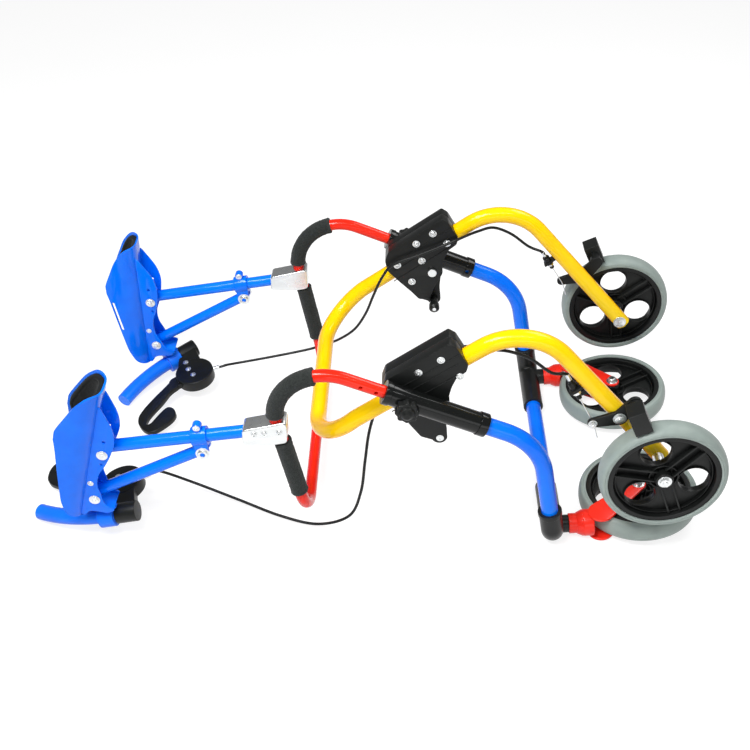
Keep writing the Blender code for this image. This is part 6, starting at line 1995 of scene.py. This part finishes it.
def build_side(side_name):
    """Every piece of one side, each in place of its CAD node."""
    side = SIDES[side_name]
    prefix = side_name + "_"
    across_axis = Vector((0, 1, 0))
    wheel_centre = across(side, REAR_WHEEL_Y, REAR_WHEEL_X, REAR_WHEEL_Z)
    wheel = wheel_frame(wheel_centre, across_axis, REAR_SPINS[side])
    swivel = caster_frame(side)
    caster_centre = swivel @ Vector((CASTER_REACH, CASTER_TRAIL, 0))
    caster = wheel_frame(caster_centre, swivel.to_3x3().col[2], CASTER_SPINS[side])
    makers = [
        ("sleeve", make_sleeve, side, BLACK_GLOSS), ("front_leg", make_leg, side, BLUE),
        ("elbow", make_elbow, side, BLACK_MOULDING), ("height_knob", make_knob, side, BLACK_PLASTIC),
        ("arm_clamp", make_arm_clamp, side, STEEL), ("arm_post", make_post, side, BLUE),
        ("slider", make_slider, side, BLUE), ("strut", make_strut, side, BLUE),
        ("trough", make_trough, side, BLUE), ("hand_grip", make_hand_grip, side, BLUE_PLASTIC),
        ("brake_housing", make_housing, side, BLACK_PLASTIC),
        ("brake_lever", make_lever, side, BLACK_PLASTIC),
        ("bracket_outer", make_outer_bracket, side, BLACK_PLASTIC),
        ("bracket_inner", make_inner_bracket, side, BLACK_PLASTIC),
        ("cable_stop", make_cable_stop, side, BLACK_PLASTIC), ("rear_axle", make_rear_axle, side, STEEL),
        ("lock_plunger", make_plunger, side, BLACK_PLASTIC),
        ("brake_arm", make_brake, side, BLACK_PLASTIC), ("caster_fork", make_fork, side, RED_PLASTIC),
        ("caster_axle", make_caster_axle, side, STEEL), ("rear_tyre", make_tyre, wheel, RUBBER),
        ("rear_rim", make_rim, wheel, BLACK_PLASTIC), ("caster_tyre", make_tyre, caster, RUBBER),
        ("caster_rim", make_rim, caster, BLACK_PLASTIC),
    ]
    for suffix, make, argument, finish in makers:
        dress(prefix + suffix, make(prefix + suffix, argument), finish)
    for suffix, along in (("bend_foam", BEND_FOAM), ("run_foam", RUN_FOAM)):
        foam = dress(prefix + suffix, make_foam(prefix + suffix, side, along), FOAM)
    pad = dress(prefix + "trough_pad", make_pad(prefix + "trough_pad", side), LINING)
    cable_pieces(side_name)


def build():
    """The tubes that span both sides, and then each side."""
    dress("front_cross_tube", make_cross_tube(), BLUE)
    dress("handlebar_tube", make_handlebar(), RED)
    dress("rear_frame_tube", make_rear_frame(), YELLOW)
    extra("rear_frame_end_caps", make_rear_caps(), BLACK_PLASTIC, "rear_frame")
    for side_name in SIDES:
        build_side(side_name)


def make_floor():
    """A plain white floor that keeps the soft shadows and glows faintly to the camera."""
    shape = bmesh.new()
    bmesh.ops.create_grid(shape, x_segments=2, y_segments=2, size=FLOOR_HALF)
    mesh = bpy.data.meshes.new("floor")
    shape.to_mesh(mesh)
    shape.free()
    floor = bpy.data.objects.new("floor", mesh)
    SCENE.collection.objects.link(floor)
    material = bpy.data.materials.new("white_floor")
    material.use_nodes = True
    nodes, links = nodes_of(material)
    nodes.clear()
    patches = speckled(links, nodes, 3, 2)
    shade = ramped(links, nodes, patches, [(0.3, (0.83, 0.83, 0.83)), (0.7, (0.85, 0.85, 0.85))])
    diffuse = nodes.new("ShaderNodeBsdfDiffuse")
    glow = nodes.new("ShaderNodeEmission")
    glow.inputs["Strength"].default_value = FLOOR_BRIGHTNESS
    rays = nodes.new("ShaderNodeLightPath")
    seen = rays.outputs["Is Camera Ray"]
    for kind in ("Is Glossy Ray", "Is Transmission Ray"):
        larger = nodes.new("ShaderNodeMath")
        larger.operation = "MAXIMUM"
        links.new(seen, larger.inputs[0])
        links.new(rays.outputs[kind], larger.inputs[1])
        seen = larger.outputs[0]
    share = nodes.new("ShaderNodeMath")
    share.operation = "MULTIPLY"
    share.inputs[1].default_value = FLOOR_GLOW
    links.new(seen, share.inputs[0])
    mix = nodes.new("ShaderNodeMixShader")
    output = nodes.new("ShaderNodeOutputMaterial")
    links.new(shade, diffuse.inputs["Color"])
    links.new(share.outputs[0], mix.inputs["Fac"])
    links.new(diffuse.outputs["BSDF"], mix.inputs[1])
    links.new(glow.outputs["Emission"], mix.inputs[2])
    links.new(mix.outputs["Shader"], output.inputs["Surface"])
    mesh.materials.append(material)


def make_world():
    world = bpy.data.worlds.new("studio")
    SCENE.world = world
    world.use_nodes = True
    nodes = world.node_tree.nodes
    links = world.node_tree.links
    backdrop = nodes["Background"]
    rays = nodes.new("ShaderNodeLightPath")
    strength = nodes.new("ShaderNodeMapRange")
    strength.inputs["To Min"].default_value = WORLD_LIGHT
    strength.inputs["To Max"].default_value = 1.0
    links.new(rays.outputs["Is Camera Ray"], strength.inputs["Value"])
    links.new(strength.outputs["Result"], backdrop.inputs["Strength"])
    backdrop.inputs["Color"].default_value = (1, 1, 1, 1)


def make_lamp(name, place, target, size, power):
    lamp = bpy.data.lights.new(name, "AREA")
    lamp.shape = "RECTANGLE"
    lamp.size, lamp.size_y = size
    lamp.energy = power
    obj = bpy.data.objects.new(name, lamp)
    SCENE.collection.objects.link(obj)
    obj.location = place
    obj.rotation_euler = (Vector(target) - Vector(place)).to_track_quat("-Z", "Y").to_euler()


def make_camera():
    camera = bpy.data.cameras.new("camera")
    camera.lens = CAMERA_LENS
    camera.sensor_width = 36
    obj = bpy.data.objects.new("camera", camera)
    SCENE.collection.objects.link(obj)
    obj.location = CAMERA_PLACE
    obj.rotation_euler = [math.radians(angle) for angle in CAMERA_ANGLES]
    SCENE.camera = obj


def make_studio():
    make_floor()
    make_world()
    for lamp in LAMPS:
        make_lamp(*lamp)
    SCENE.view_settings.view_transform = "Standard"


make_camera()
build()
make_studio()
